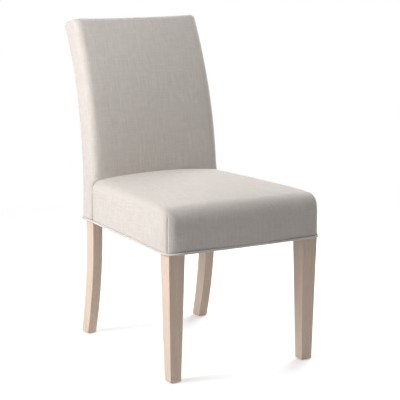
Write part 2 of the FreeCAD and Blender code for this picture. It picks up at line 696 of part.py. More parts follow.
def screw(point, direction):
    """Wood screw through a corner block into a rail, and the room it needs."""
    ahead = SCREW_LENGTH - SCREW_GRIP
    shank = bar(point, direction, SCREW_RADIUS, SCREW_GRIP, ahead)
    head = bar(point, direction, SCREW_HEAD_RADIUS, SCREW_GRIP + SCREW_HEAD, -SCREW_GRIP)
    hole = bar(point, direction, SCREW_RADIUS + SCREW_ROOM, SCREW_GRIP, ahead + SCREW_ROOM)
    bore = bar(point, direction, SCREW_HEAD_RADIUS + SCREW_ROOM, BLOCK_REACH, -SCREW_GRIP)
    return shank.fuse(head), hole.fuse(bore)


def block_screws():
    """Screws of the two corner blocks on the sitter's left side, as (screw, room)."""
    z = RAIL_TOP - BLOCK_BELOW_RAIL_TOP - BLOCK_HEIGHT / 2
    place = 0.45 * BLOCK_REACH
    slant = side_rail_outer(SIDE_RAIL_FRONT) - side_rail_outer(SIDE_RAIL_REAR)
    outward = V(SIDE_RAIL_REAR - SIDE_RAIL_FRONT, slant, 0)
    front_y, rear_y = SIDE_RAIL_FRONT + place, SIDE_RAIL_REAR - place
    front = [
        screw(V(FRONT_LEG_INNER - place, FRONT_RAIL_REAR, z), V(0, -1, 0)),
        screw(V(side_rail_inner(front_y), front_y, z), outward),
    ]
    rear = [
        screw(V(REAR_LEG_INNER - place, REAR_RAIL_FRONT, z), V(0, 1, 0)),
        screw(V(side_rail_inner(rear_y), rear_y, z), outward),
    ]
    return front, rear


# Webbing

def web_strip(stations, width):
    """Flat web along X through (place, height) stations, its middle on the line y = 0."""
    upper = [V(s, -width / 2, h + WEB / 2) for s, h in stations]
    lower = [V(s, -width / 2, h - WEB / 2) for s, h in reversed(stations)]
    return prism(upper + lower, V(0, width, 0))


def web_stations(start, hold_start, crossings, hold_end, end, first_sign):
    """Heights of a web that lies flat on both rails and passes over and under its crossings."""
    flat = WEB_WIDTH / 2 + 2 * WEB
    stations = [(start, 0.0), (hold_start, 0.0)]
    for i, place in enumerate(crossings):
        height = WEB_RISE * first_sign * (-1) ** i
        stations += [(place - flat, height), (place + flat, height)]
    return stations + [(hold_end, 0.0), (end, 0.0)]


def seat_webs():
    """Interlaced webs of the seat, lengthwise and crosswise."""
    xs = [(i - (WEBS_LENGTHWISE - 1) / 2) * WEB_PITCH for i in range(WEBS_LENGTHWISE)]
    clear = REAR_RAIL_FRONT - FRONT_RAIL_REAR
    ys = [FRONT_RAIL_REAR + clear * (j + 1) / (WEBS_CROSSWISE + 1) for j in range(WEBS_CROSSWISE)]
    lengthwise, crosswise = [], []
    for i, x in enumerate(xs):
        start = FRONT_RAIL_REAR - RAIL_THICKNESS + WEB_END_MARGIN
        end = REAR_RAIL_FRONT + RAIL_THICKNESS - WEB_END_MARGIN
        stations = web_stations(start, FRONT_RAIL_REAR, ys, REAR_RAIL_FRONT, end, (-1) ** i)
        web = web_strip(stations, WEB_WIDTH)
        web.rotate(V(0, 0, 0), V(0, 0, 1), 90)
        web.translate(V(x, 0, WEB_PLANE))
        lengthwise.append(web)
    for j, y in enumerate(ys):
        hold = side_rail_inner(y + WEB_WIDTH / 2)
        end = side_rail_outer(y) - WEB_END_MARGIN
        stations = web_stations(-end, -hold, xs, hold, end, -(-1) ** j)
        web = web_strip(stations, WEB_WIDTH)
        web.translate(V(0, y, WEB_PLANE))
        crosswise.append(web)
    return lengthwise, crosswise


def back_webs():
    """Elastic webs stretched across the fronts of the back posts."""
    low = sweep_angle(POST_FRONT, RAIL_TOP + TAPER_ABOVE_RAIL + POST_TAPER)
    high = angle_under_top(POST_FRONT, FRAME_TOP_COVER)
    half = WEB_WIDTH / 2 / (SWEEP_RADIUS + POST_FRONT)
    rear_cover = POST_FRONT + LAYER_GAP
    webs = []
    for i in range(BACK_WEBS):
        middle = low + (high - low) * (i + 0.5) / BACK_WEBS
        band = sweep_band(
            rear_cover, rear_cover + WEB, lambda c: middle - half, lambda c: middle + half
        )
        webs.append(band.common(slab_between(POST_SIDE_COVER + WEB_END_MARGIN)))
    return webs


# Padding and covers

def behind_foam():
    """All the room that the back's wooden frame and webs take up, with its clearance."""
    cover = POST_FRONT + LAYER_GAP + WEB + FOAM_WALL
    depth = FRAME_TOP_COVER - FOAM_WALL
    post_front_y = REAR_LEG_Y - REAR_LEG_DEPTH / 2 - LAYER_GAP - WEB - FOAM_WALL
    taper_end = sweep_angle(cover, RAIL_TOP + TAPER_ABOVE_RAIL + POST_TAPER)
    high = angle_under_top(cover, depth)
    top = sweep_point(cover, high)
    behind = (top[0] + FAR * math.cos(SLOPE), top[1] - FAR * math.sin(SLOPE))
    low_rear = (behind[0], behind[1] - FAR)
    edges = joined([low_rear, (post_front_y, low_rear[1]),
                    (post_front_y, RAIL_TOP + TAPER_ABOVE_RAIL), sweep_point(cover, taper_end)])
    edges.append(sweep_arc(cover, taper_end, high))
    edges += joined([top, behind, low_rear])
    return side_view(edges)


def clear_of_seat_frame(shell):
    """Leaves out the front wall of a layer of the slab where the seat frame passes through."""
    half = BACK_WIDTH / 2 - FRAME_INSET - 1
    room = Part.makeBox(2 * half, FAR, FAR, V(-half, REAR_LEG_Y - FAR, SEAT_FOAM_BOTTOM - FAR))
    return shell.cut(room)


def seat_layer(outside, thickness):
    """Layer over the seat, open below and towards the back."""
    bottom = WELT_TOP + LAYER_GAP
    outer = seat_form(outside, bottom, CREASE_Y - LAYER_GAP)
    return outer.cut(seat_form(outside + thickness, bottom - WADDING, CREASE_Y + WADDING))


def back_layer(outside, thickness):
    """Layer over the back slab, open below."""
    bottom = WELT_TOP + LAYER_GAP
    shell = back_form(outside, bottom).cut(back_form(outside + thickness, bottom - WADDING))
    return clear_of_seat_frame(shell)


def outside_panel(grown):
    """Room of the outside back panel, grown all round."""
    sheet = back_sheet(-CLOTH, FRAME_INSET, BOX_BOTTOM, FRAME_TOP_COVER - grown)
    return sheet.common(slab_between(PANEL_MARGIN - grown))


def within_cord(side, reach):
    """Room inside the outer (side 1) or inner (side -1) half of the welt's cord, all round.

    reach carries the room straight on past the cord's flat top and underside.
    """
    middle, centre_z = WELT_RADIUS - WELT_PROUD, BOX_BOTTOM + WELT_RADIUS
    steps = []
    for i in range(WELT_FLATS):
        turn = math.pi * ((i + 0.5) / WELT_FLATS - 0.5)
        steps.append((middle - side * WELT_RADIUS * math.cos(turn), centre_z + WELT_RADIUS * math.sin(turn)))
    if reach:
        steps = [(steps[0][0], steps[0][1] - reach)] + steps + [(steps[-1][0], steps[-1][1] + reach)]
    return Part.makeLoft([plan_outline(inset, z) for inset, z in steps], True, True)


def bottom_welt():
    """Piped cord round the bottom edge with the tape that nails it under the rails."""
    cord = within_cord(1, 0).cut(within_cord(-1, WELT_RADIUS))
    tape = envelope(WELT_RADIUS - WELT_PROUD, DUST_COVER_TOP, RAIL_BOTTOM)
    tape = tape.cut(envelope(WELT_TAPE_WIDTH, DUST_COVER_TOP - WADDING, RAIL_BOTTOM + WADDING))
    return cord.fuse(tape.cut(leg_rooms(LAYER_GAP)))


def leg_rooms(gap):
    """Blocks round all four legs at the level of the welt."""
    half = FRONT_LEG_TOP / 2 + gap
    bottom, height = LEG_SHOULDER, RAIL_BOTTOM + WADDING - LEG_SHOULDER
    front = Part.makeBox(2 * half, 2 * half, height, V(FRONT_LEG_X - half, FRONT_LEG_Y - half, bottom))
    front = front.common(envelope(FRAME_INSET - gap, bottom, bottom + height))
    half_x, half_y = REAR_LEG_WIDTH / 2 + gap, REAR_LEG_DEPTH / 2 + gap
    rear = Part.makeBox(2 * half_x, 2 * half_y, height, V(REAR_LEG_X - half_x, REAR_LEG_Y - half_y, bottom))
    return Part.makeCompound([front, mirrored(front), rear, mirrored(rear)])


def dust_cover():
    """Black cloth under the seat, cut round the legs."""
    cloth = envelope(DUST_COVER_MARGIN, DUST_COVER_TOP - DUST_COVER, DUST_COVER_TOP)
    return cloth.cut(leg_rooms(FOAM_WALL))


def platform_cloth():
    """Cloth over the seat webs, cut round the back posts."""
    cloth = envelope(PLATFORM_MARGIN, PLATFORM_BOTTOM, PLATFORM_BOTTOM + PLATFORM_CLOTH)
    half = REAR_LEG_INNER - FOAM_WALL
    keep = Part.makeBox(2 * half, FAR, FAR, V(-half, REAR_RAIL_FRONT + RAIL_THICKNESS - FAR, 0))
    ahead = Part.makeBox(FAR, FAR, FAR, V(-FAR / 2, SIDE_RAIL_REAR - FOAM_WALL - FAR, 0))
    return cloth.common(keep.fuse(ahead))


def front_padding():
    """Strip of foam over the front rail's face."""
    rear = FRONT_RAIL_REAR - RAIL_THICKNESS - FRONT_PAD_GAP
    pad = seat_form(FRAME_INSET, WELT_TOP + LAYER_GAP, rear)
    below = Part.makeBox(FAR, FAR, FAR, V(-FAR / 2, -FAR / 2, PLATFORM_BOTTOM - LAYER_GAP - FAR))
    return pad.common(below)


def nail(x, y, gap):
    """Square nail of a glide, grown by gap."""
    side = GLIDE_NAIL + 2 * gap
    return Part.makeBox(side, side, GLIDE_NAIL_LENGTH + gap, V(x - side / 2, y - side / 2, GLIDE_HEIGHT))


def glide(x, y):
    """Nail-on glide under a foot."""
    edge = Part.makeCone(GLIDE_RADIUS - GLIDE_EDGE, GLIDE_RADIUS, GLIDE_EDGE, V(x, y, 0))
    disc = Part.makeCylinder(GLIDE_RADIUS, GLIDE_HEIGHT - GLIDE_EDGE, V(x, y, GLIDE_EDGE))
    return edge.fuse(disc).fuse(nail(x, y, 0))


def both_sides(shapes):
    """Pieces of the sitter's left side together with their mirror images."""
    return Part.makeCompound(list(shapes) + [mirrored(shape) for shape in shapes])


# The whole chair

def build_frame():
    """Legs, rails, blocks, screws and glides."""
    front_screws, rear_screws = block_screws()
    rooms = Part.makeCompound([room for _, room in front_screws + rear_screws])
    mortises = Part.makeCompound(
        [side_tenons(GLUE_GAP), front_tenons(GLUE_GAP), rear_tenons(GLUE_GAP)] + back_tenons(GLUE_GAP)
    )
    feet = [(FRONT_LEG_X, FRONT_LEG_Y), (REAR_LEG_X, REAR_LEG_Y + REAR_LEG_KICK)]
    nails = Part.makeCompound([nail(x, y, GLIDE_NAIL_ROOM) for x, y in feet])
    side = side_bar(SIDE_RAIL_FRONT, SIDE_RAIL_REAR, RAIL_THICKNESS, 0).fuse(side_tenons(0))
    left = {
        "front_leg": front_leg().cut(nails).cut(mortises),
        "rear_leg": rear_leg().cut(nails).cut(mortises),
        "side_seat_rail": side.cut(rooms),
        "corner_block_front": corner_block(front_block_corners()).cut(rooms),
        "corner_block_rear": corner_block(rear_block_corners()).cut(rooms),
    }
    for name, shape in left.items():
        save(name + "_left", shape)
        save(name + "_right", mirrored(shape))
    both_rooms = Part.makeCompound([rooms, mirrored(rooms)])
    front = cross_bar(FRONT_LEG_INNER, FRONT_RAIL_Y, RAIL_THICKNESS, 0).fuse(front_tenons(0))
    rear = cross_bar(REAR_LEG_INNER, REAR_LEG_Y, RAIL_THICKNESS, 0).fuse(rear_tenons(0))
    save("front_seat_rail", front.cut(both_rooms))
    save("rear_seat_rail", rear.cut(both_rooms))
    for name, rail in zip(("bottom", "middle", "top"), back_rails()):
        save("back_%s_rail" % name, rail)
    save("corner_block_screws", both_sides([piece for piece, _ in front_screws + rear_screws]))
    save("floor_glides", both_sides([glide(x, y) for x, y in feet]))


def build_webbing():
    """Webs, the cloth over them and the cloth under the seat."""
    lengthwise, crosswise = seat_webs()
    save("seat_webbing_lengthwise", Part.makeCompound(lengthwise))
    save("seat_webbing_crosswise", Part.makeCompound(crosswise))
    save("back_webbing", Part.makeCompound(back_webs()))
    save("seat_platform_cloth", platform_cloth())
    save("dust_cover", dust_cover())


def build_padding():
    """Foam, wadding and the sheet that closes the outside of the back."""
    save("seat_foam", seat_form(FRAME_INSET, SEAT_FOAM_BOTTOM, CREASE_Y - LAYER_GAP))
    save("front_rail_padding", front_padding())
    save("back_foam", back_form(FRAME_INSET, SEAT_FOAM_BOTTOM).cut(behind_foam()))
    board_front = POST_REAR_COVER - BOARD_GAP
    board_rear = board_front - OUTSIDE_BOARD
    within = slab_between(POST_SIDE_COVER)
    board = back_sheet(board_rear, board_front, RAIL_BOTTOM, FRAME_TOP_COVER)
    save("outside_back_board", board.common(within))
    padding = back_sheet(FRAME_INSET, board_rear - LAYER_GAP, WELT_TOP + LAYER_GAP, FRAME_TOP_COVER)
    save("outside_back_padding", padding.common(within))
    inside = CLOTH + LAYER_GAP
    save("seat_wadding", seat_layer(inside, WADDING))
    save("back_wadding", back_layer(inside, WADDING))


def build_covers():
    """Upholstery cloth and the welt round its lower edge."""
    save("seat_cover", seat_layer(0, CLOTH))
    cover = back_layer(0, CLOTH)
    save("outside_back_cover", cover.common(outside_panel(0)))
    save("inside_back_cover", cover.cut(outside_panel(SEAM_GAP)))
    save("bottom_welt", bottom_welt())


os.makedirs("parts", exist_ok=True)
build_frame()
build_webbing()
build_padding()
build_covers()
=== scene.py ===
import logging
import math
from collections.abc import Callable, Iterable
from dataclasses import dataclass, field
from enum import Enum

import bmesh
import bpy
import numpy as np
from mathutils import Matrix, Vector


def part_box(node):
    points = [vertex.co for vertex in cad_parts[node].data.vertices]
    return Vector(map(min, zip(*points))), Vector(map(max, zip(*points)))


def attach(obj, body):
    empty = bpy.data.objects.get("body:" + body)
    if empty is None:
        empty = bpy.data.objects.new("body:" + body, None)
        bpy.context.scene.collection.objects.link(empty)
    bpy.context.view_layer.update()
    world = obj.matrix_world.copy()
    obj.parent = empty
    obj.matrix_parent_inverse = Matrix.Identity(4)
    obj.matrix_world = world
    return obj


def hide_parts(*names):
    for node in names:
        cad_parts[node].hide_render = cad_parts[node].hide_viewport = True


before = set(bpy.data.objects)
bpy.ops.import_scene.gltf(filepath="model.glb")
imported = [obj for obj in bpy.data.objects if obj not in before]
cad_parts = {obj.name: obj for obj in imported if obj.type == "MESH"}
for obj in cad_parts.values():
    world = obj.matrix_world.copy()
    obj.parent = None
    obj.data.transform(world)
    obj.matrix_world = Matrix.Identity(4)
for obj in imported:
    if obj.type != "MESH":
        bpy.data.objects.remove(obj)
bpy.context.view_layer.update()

# Parsons chair: padded slab back and crowned seat in linen over a wooden frame.
# Metres. +Z is up, the seat's front faces -Y, and +X is the sitter's left.

Array = np.ndarray
Colour = tuple[float, float, float]
Place = tuple[float, float, float]
Sockets = list[bpy.types.NodeSocket]
log = logging.getLogger("parsons_chair")

SEAM_SHADE = "seam"              # attribute: distance to a seam or crease and how strongly painted shade darkens the cloth there
SEAM_LINE = 0.0009         # half width of the painted shade line along a seam
THREAD_WAVES = 430.0       # waves of the slubs in a metre, across their thread
SLUB_WAVES = 16.0          # and along it


# Points and meshes

def smooth_step(value: Array) -> Array:
    """3t^2 - 2t^3 of value clipped to 0 to 1, which rises from 0 to 1 with level ends."""
    t = np.clip(value, 0.0, 1.0)
    return t * t * (3.0 - 2.0 * t)


def numbered(rows: int, columns: int) -> Array:
    """Vertex numbers of a grid that is stored row by row."""
    return np.arange(rows * columns).reshape(rows, columns)


def grid_quads(numbers: Array, closed: bool = False, looped: bool = False) -> Array:
    """Quads between neighbouring points of a grid.

    Args:
        numbers: The grid's vertex numbers, row by row.
        closed: Whether each row joins its last point to its first.
        looped: Whether the last row joins the first.

    Returns:
        Vertex numbers, one row of four per quad.
    """
    if closed:
        numbers = np.concatenate([numbers, numbers[:, :1]], axis=1)
    if looped:
        numbers = np.concatenate([numbers, numbers[:1]])
    corners = [numbers[:-1, :-1], numbers[:-1, 1:], numbers[1:, 1:], numbers[1:, :-1]]
    return np.stack(corners, axis=-1).reshape(-1, 4)


def stack_faces(rows: int, columns: int) -> list[Iterable[int]]:
    """Faces of stacked closed sections.

    Args:
        rows: Number of sections.
        columns: Number of points round each section.

    Returns:
        Quads round the stack and one flat face at either end.
    """
    numbers = numbered(rows, columns)
    return [*grid_quads(numbers, closed=True).tolist(), numbers[0, ::-1], numbers[-1]]


def ring_angles(count: int) -> Array:
    """Angles of even steps round a circle."""
    return np.arange(count) * 2 * math.pi / count


def unit(vectors: Array) -> Array:
    """Vectors brought to a length of 1."""
    return vectors / np.linalg.norm(vectors, axis=-1, keepdims=True)


def tangents(line: Array) -> Array:
    """Direction of a closed line at each point, taken between its two neighbours."""
    return unit(np.roll(line, -1, axis=0) - np.roll(line, 1, axis=0))


def revolved(radii: Array, heights: Array, centre: Array, sides: int = 32) -> tuple[Array, Array]:
    """Surface of a profile turned about an upright axis: (r cos t, r sin t, z) about centre.

    Args:
        radii: Radius of each profile point, 0 at both ends where the surface closes.
        heights: Height of each profile point.
        centre: Foot of the axis.
        sides: Points round the axis.

    Returns:
        Points and quads.
    """
    turn = ring_angles(sides)
    ring = np.stack([np.cos(turn), np.sin(turn), np.zeros(sides)], axis=-1)
    points = radii[:, None, None] * ring + heights[:, None, None] * np.array([0.0, 0.0, 1.0])
    return (points + centre).reshape(-1, 3), grid_quads(numbered(len(radii), sides), closed=True)


def repeated(faces: Array, stride: int, count: int) -> Array:
    """Faces of one small mesh for a row of copies of it.

    Args:
        faces: Faces of one copy.
        stride: Number of points in a copy.
        count: Number of copies.

    Returns:
        The faces of every copy, one after another.
    """
    return (np.arange(count)[:, None, None] * stride + faces[None]).reshape(-1, faces.shape[1])


def coordinates(mesh: bpy.types.Mesh) -> Array:
    """Reads every vertex of a mesh.

    Args:
        mesh: The mesh.

    Returns:
        Points, three columns.
    """
    flat = np.empty(len(mesh.vertices) * 3)
    mesh.vertices.foreach_get("co", flat)
    return flat.reshape(-1, 3)


def normals(mesh: bpy.types.Mesh) -> Array:
    """Reads every vertex normal of a mesh.

    Args:
        mesh: The mesh.

    Returns:
        Unit vectors, three columns.
    """
    flat = np.empty(len(mesh.vertices) * 3, dtype=np.float32)
    mesh.vertex_normals.foreach_get("vector", flat)
    return flat.reshape(-1, 3).astype(float)


def place(mesh: bpy.types.Mesh, points: Array) -> None:
    """Moves every vertex of a mesh to the given points."""
    mesh.vertices.foreach_set("co", points.reshape(-1))
    mesh.update()


def new_piece(name: str, points: Array, faces: Iterable, closed: bool = True) -> bpy.types.Object:
    """Makes an object from points and faces, merged where points meet and facing outwards.

    Args:
        name: The piece's name.
        points: Vertices, three columns.
        faces: Vertex indices of each face.
        closed: Whether the surface is a closed shell, whose normals can be turned outwards.

    Returns:
        The object, at the origin, linked to the scene.
    """
    mesh = bpy.data.meshes.new(name)
    mesh.from_pydata(points.reshape(-1, 3).tolist(), [], [list(map(int, face)) for face in faces])
    shell = bmesh.new()
    shell.from_mesh(mesh)
    bmesh.ops.remove_doubles(shell, verts=shell.verts, dist=1e-6)
    if closed:
        bmesh.ops.recalc_face_normals(shell, faces=shell.faces)
    shell.to_mesh(mesh)
    shell.free()
    mesh.shade_smooth()
    piece = bpy.data.objects.new(name, mesh)
    bpy.context.scene.collection.objects.link(piece)
    return piece


def thicken(piece: bpy.types.Object, name: str, thickness: float) -> None:
    """Gives a sheet its thickness, behind its front.

    Args:
        piece: The sheet.
        name: The modifier's name.
        thickness: How thick it gets.
    """
    wall = piece.modifiers.new(name, "SOLIDIFY")
    wall.thickness = thickness
    wall.offset = -1.0


def baked(piece: bpy.types.Object) -> None:
    """Puts the result of a piece's modifiers into its mesh and takes them off.

    Args:
        piece: The piece.
    """
    graph = bpy.context.evaluated_depsgraph_get()
    mesh = bpy.data.meshes.new_from_object(piece.evaluated_get(graph), depsgraph=graph)
    old = piece.data
    piece.modifiers.clear()
    piece.data = mesh
    bpy.data.meshes.remove(old)
    mesh.name = piece.name
    mesh.shade_smooth()


def point_map(piece: bpy.types.Object, name: str, values: Array) -> None:
    """Keeps three values per vertex under a name that shaders read."""
    attribute = piece.data.attributes.new(name, "FLOAT_VECTOR", "POINT")
    attribute.data.foreach_set("vector", values.astype(np.float32).reshape(-1))


def cloth_map(piece: bpy.types.Object, mapped: Array) -> None:
    """Keeps where each vertex lies on its flat cloth, in metres, for the weave to follow."""
    point_map(piece, Pattern.CLOTH.value, mapped)


def dress(piece: bpy.types.Object, finish: "Finish", replaced: Iterable[str] = ()) -> None:
    """Gives a piece its material and slot, and lets it ride on the chair.

    Args:
        piece: The new piece.
        finish: Its finish.
        replaced: CAD nodes that it stands for.
    """
    piece.data.materials.clear()
    piece.data.materials.append(finish.material())
    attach(piece, "root")
    if replaced:
        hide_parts(*replaced)
    log.info("%s: %d faces", piece.name, len(piece.data.polygons))


# Finishes

class Pattern(Enum):
    """What a finish's pattern follows."""

    OBJECT = "object"
    CLOTH = "cloth"


class Graph:
    """Adds shader nodes to a tree and joins them."""

    def __init__(self, tree: bpy.types.NodeTree) -> None:
        """Starts on an empty tree."""
        self.tree = tree
        tree.nodes.clear()

    def feed(self, socket: bpy.types.NodeSocket, value: object) -> None:
        """Links a socket to another one, or sets its value.

        Args:
            socket: Input socket.
            value: Output socket, or a plain value.
        """
        if isinstance(value, bpy.types.NodeSocket):
            self.tree.links.new(value, socket)
        else:
            socket.default_value = value

    def node(
        self, kind: str, inputs: dict[str, object] | None = None, **settings: object
    ) -> bpy.types.Node:
        """Adds a node.

        Args:
            kind: The node's type without its common prefix.
            inputs: Sockets by name, each a value or another socket.
            settings: The node's own options.

        Returns:
            The node.
        """
        node = self.tree.nodes.new("ShaderNode" + kind)
        for name, value in settings.items():
            setattr(node, name, value)
        for name, value in (inputs or {}).items():
            self.feed(node.inputs[name], value)
        return node

    def math(self, operation: str, *values: object) -> bpy.types.NodeSocket:
        """One arithmetic step.

        Args:
            operation: The step's name.
            values: Its values, each a number or a socket.

        Returns:
            The result.
        """
        node = self.node("Math", operation=operation)
        for socket, value in zip(node.inputs, values):
            self.feed(socket, value)
        return node.outputs[0]

    def scaled(self, vector: bpy.types.NodeSocket, scale: Place) -> bpy.types.NodeSocket:
        """A vector multiplied axis by axis.

        Args:
            vector: The vector.
            scale: Factor of each axis.

        Returns:
            The longer or shorter vector.
        """
        node = self.node("VectorMath", operation="MULTIPLY")
        self.feed(node.inputs[0], vector)
        self.feed(node.inputs[1], scale)
        return node.outputs[0]

    def noise(self, vector: bpy.types.NodeSocket, scale: Place, detail: float = 2.0) -> bpy.types.NodeSocket:
        """Soft random values of 0 to 1.

        Args:
            vector: Coordinates that the noise follows.
            scale: Waves in a metre along each axis.
            detail: Number of finer layers.

        Returns:
            The values.
        """
        stretched = self.scaled(vector, scale)
        node = self.node("TexNoise", {"Vector": stretched, "Scale": 1.0, "Detail": detail})
        return node.outputs["Fac"]

    def span(
        self, value: bpy.types.NodeSocket, low: float, high: float, to_low: float = 0.0, to_high: float = 1.0
    ) -> bpy.types.NodeSocket:
        """A value carried from one range to another and clipped there.

        Args:
            value: The value.
            low: Where the first range begins.
            high: Where it ends.
            to_low: Result at its beginning.
            to_high: Result at its end.

        Returns:
            The value in the second range.
        """
        inputs = {"Value": value, "From Min": low, "From Max": high, "To Min": to_low, "To Max": to_high}
        return self.node("MapRange", inputs).outputs[0]

    def mix(self, factor: object, first: object, second: object) -> bpy.types.NodeSocket:
        """A colour between two colours.

        Args:
            factor: Share of the second, from 0 to 1.
            first: Colour at 0.
            second: Colour at 1.

        Returns:
            The colour.
        """
        node = self.node("Mix", data_type="RGBA")
        for index, value in ((0, factor), (6, first), (7, second)):
            if isinstance(value, tuple):
                value = (*value, 1.0)
            self.feed(node.inputs[index], value)
        return node.outputs[2]

    def bump(self, height: bpy.types.NodeSocket, distance: float) -> bpy.types.NodeSocket:
        """Normals bent by a height whose unit is distance, in metres."""
        return self.node("Bump", {"Height": height, "Distance": distance}).outputs[0]

    def vector_of(self, pattern: Pattern) -> bpy.types.NodeSocket:
        """Coordinates for a pattern.

        Args:
            pattern: What the pattern follows.

        Returns:
            The vector.
        """
        if pattern is Pattern.CLOTH:
            return self.node("Attribute", attribute_name=pattern.value).outputs["Vector"]
        return self.node("TexCoord").outputs["Object"]

    def group(self, tree: bpy.types.NodeTree, **inputs: object) -> bpy.types.Node:
        """Places a shared group with its own input values.

        Args:
            tree: The group.
            inputs: Value or socket by input name.

        Returns:
            The group's node.
        """
        node = self.node("Group", node_tree=tree)
        for name, value in inputs.items():
            self.feed(node.inputs[name], value)
        return node

    def surface(self, **inputs: object) -> None:
        """Ends the tree in a Principled shader.

        Args:
            inputs: Value or socket by the shader's input name, with its spaces as underscores.
        """
        sockets = {name.replace("_", " "): value for name, value in inputs.items()}
        shader = self.node("BsdfPrincipled", sockets)
        output = self.node("OutputMaterial")
        self.tree.links.new(shader.outputs[0], output.inputs["Surface"])


def shared_group(
    name: str, inputs: dict[str, str], outputs: Iterable[str], fill: Callable[[Graph, object], Sockets]
) -> bpy.types.NodeTree:
    """A shader node group, built the first time it is asked for.

    Args:
        name: The group's name.
        inputs: Socket type by input name.
        outputs: Names of its outputs, all of them plain values.
        fill: Function of the graph and the group's inputs that gives its results in order.

    Returns:
        The group's node tree.
    """
    if name in bpy.data.node_groups:
        return bpy.data.node_groups[name]
    tree = bpy.data.node_groups.new(name, "ShaderNodeTree")
    for label, kind in inputs.items():
        tree.interface.new_socket(label, in_out="INPUT", socket_type=kind)
    for label in outputs:
        tree.interface.new_socket(label, in_out="OUTPUT", socket_type="NodeSocketFloat")
    graph = Graph(tree)
    source = tree.nodes.new("NodeGroupInput")
    result = tree.nodes.new("NodeGroupOutput")
    for socket, value in zip(result.inputs, fill(graph, source.outputs)):
        graph.feed(socket, value)
    return tree


def weave_group() -> bpy.types.NodeTree:
    """Plain weave: threads that pass over and under each other, with thick slubs in both directions.

    Returns:
        The group, which gives the threads' height, the slubs and a mottle of the yarn.
    """

    def fill(graph: Graph, given: bpy.types.NodeOutputs) -> Sockets:
        """Height |a|(1 + ab)/2 + |b|(1 - ab)/2 with a = sin(pi x / pitch) and b = sin(pi y / pitch).

        Args:
            graph: The group's graph.
            given: Its inputs.

        Returns:
            Its results.
        """
        parts = graph.node("SeparateXYZ", {"Vector": given["Vector"]}).outputs
        turns = graph.math("DIVIDE", math.pi, given["Pitch"])
        warp = graph.math("SINE", graph.math("MULTIPLY", parts[0], turns))
        weft = graph.math("SINE", graph.math("MULTIPLY", parts[1], turns))
        over = graph.math("MULTIPLY_ADD", graph.math("MULTIPLY", warp, weft), 0.5, 0.5)
        warp_height = graph.math("MULTIPLY", graph.math("ABSOLUTE", warp), over)
        under = graph.math("SUBTRACT", 1.0, over)
        height = graph.math("MULTIPLY_ADD", graph.math("ABSOLUTE", weft), under, warp_height)
        upright = graph.noise(given["Vector"], (THREAD_WAVES, SLUB_WAVES, 1.0))
        level = graph.noise(given["Vector"], (SLUB_WAVES, THREAD_WAVES, 1.0))
        slub = graph.math("MULTIPLY_ADD", upright, 0.6, graph.math("MULTIPLY", level, 0.4))
        heather = graph.noise(given["Vector"], (60.0, 60.0, 60.0), 4.0)
        return [height, graph.span(slub, 0.35, 0.65), heather]

    inputs = {"Vector": "NodeSocketVector", "Pitch": "NodeSocketFloat"}
    return shared_group("plain_weave", inputs, ("Height", "Slub", "Heather"), fill)


def grain_group() -> bpy.types.NodeTree:
    """Wood sawn along its grain: broad growth bands, fine streaks and short open pores.

    Returns:
        The group.
    """

    def fill(graph: Graph, given: bpy.types.NodeOutputs) -> Sockets:
        """Three layers of noise, each drawn out along Z by its own factor.

        Args:
            graph: The group's graph.
            given: Its inputs.

        Returns:
            Its results.
        """
        vector = given["Vector"]
        bands = graph.noise(vector, (45.0, 45.0, 2.2), 3.0)
        streaks = graph.noise(vector, (520.0, 520.0, 9.0), 3.0)
        pores = graph.noise(vector, (1500.0, 1500.0, 55.0), 1.0)
        return [graph.span(bands, 0.3, 0.7), graph.span(streaks, 0.32, 0.68), graph.span(pores, 0.62, 0.7)]

    return shared_group("sawn_grain", {"Vector": "NodeSocketVector"}, ("Bands", "Streaks", "Pores"), fill)


@dataclass(frozen=True)
class Finish:
    """A surface finish; slot is its name in the part's record."""

    slot: str

    def paint(self, graph: Graph) -> None:
        """Builds the finish's shader."""
        raise NotImplementedError

    def material(self) -> bpy.types.Material:
        """Makes the finish's material the first time it is asked for.

        Returns:
            The material.
        """
        name = "%s_%s" % (self.slot, type(self).__name__.lower())
        if name in bpy.data.materials:
            return bpy.data.materials[name]
        material = bpy.data.materials.new(name)
        material.use_nodes = True
        self.paint(Graph(material.node_tree))
        return material


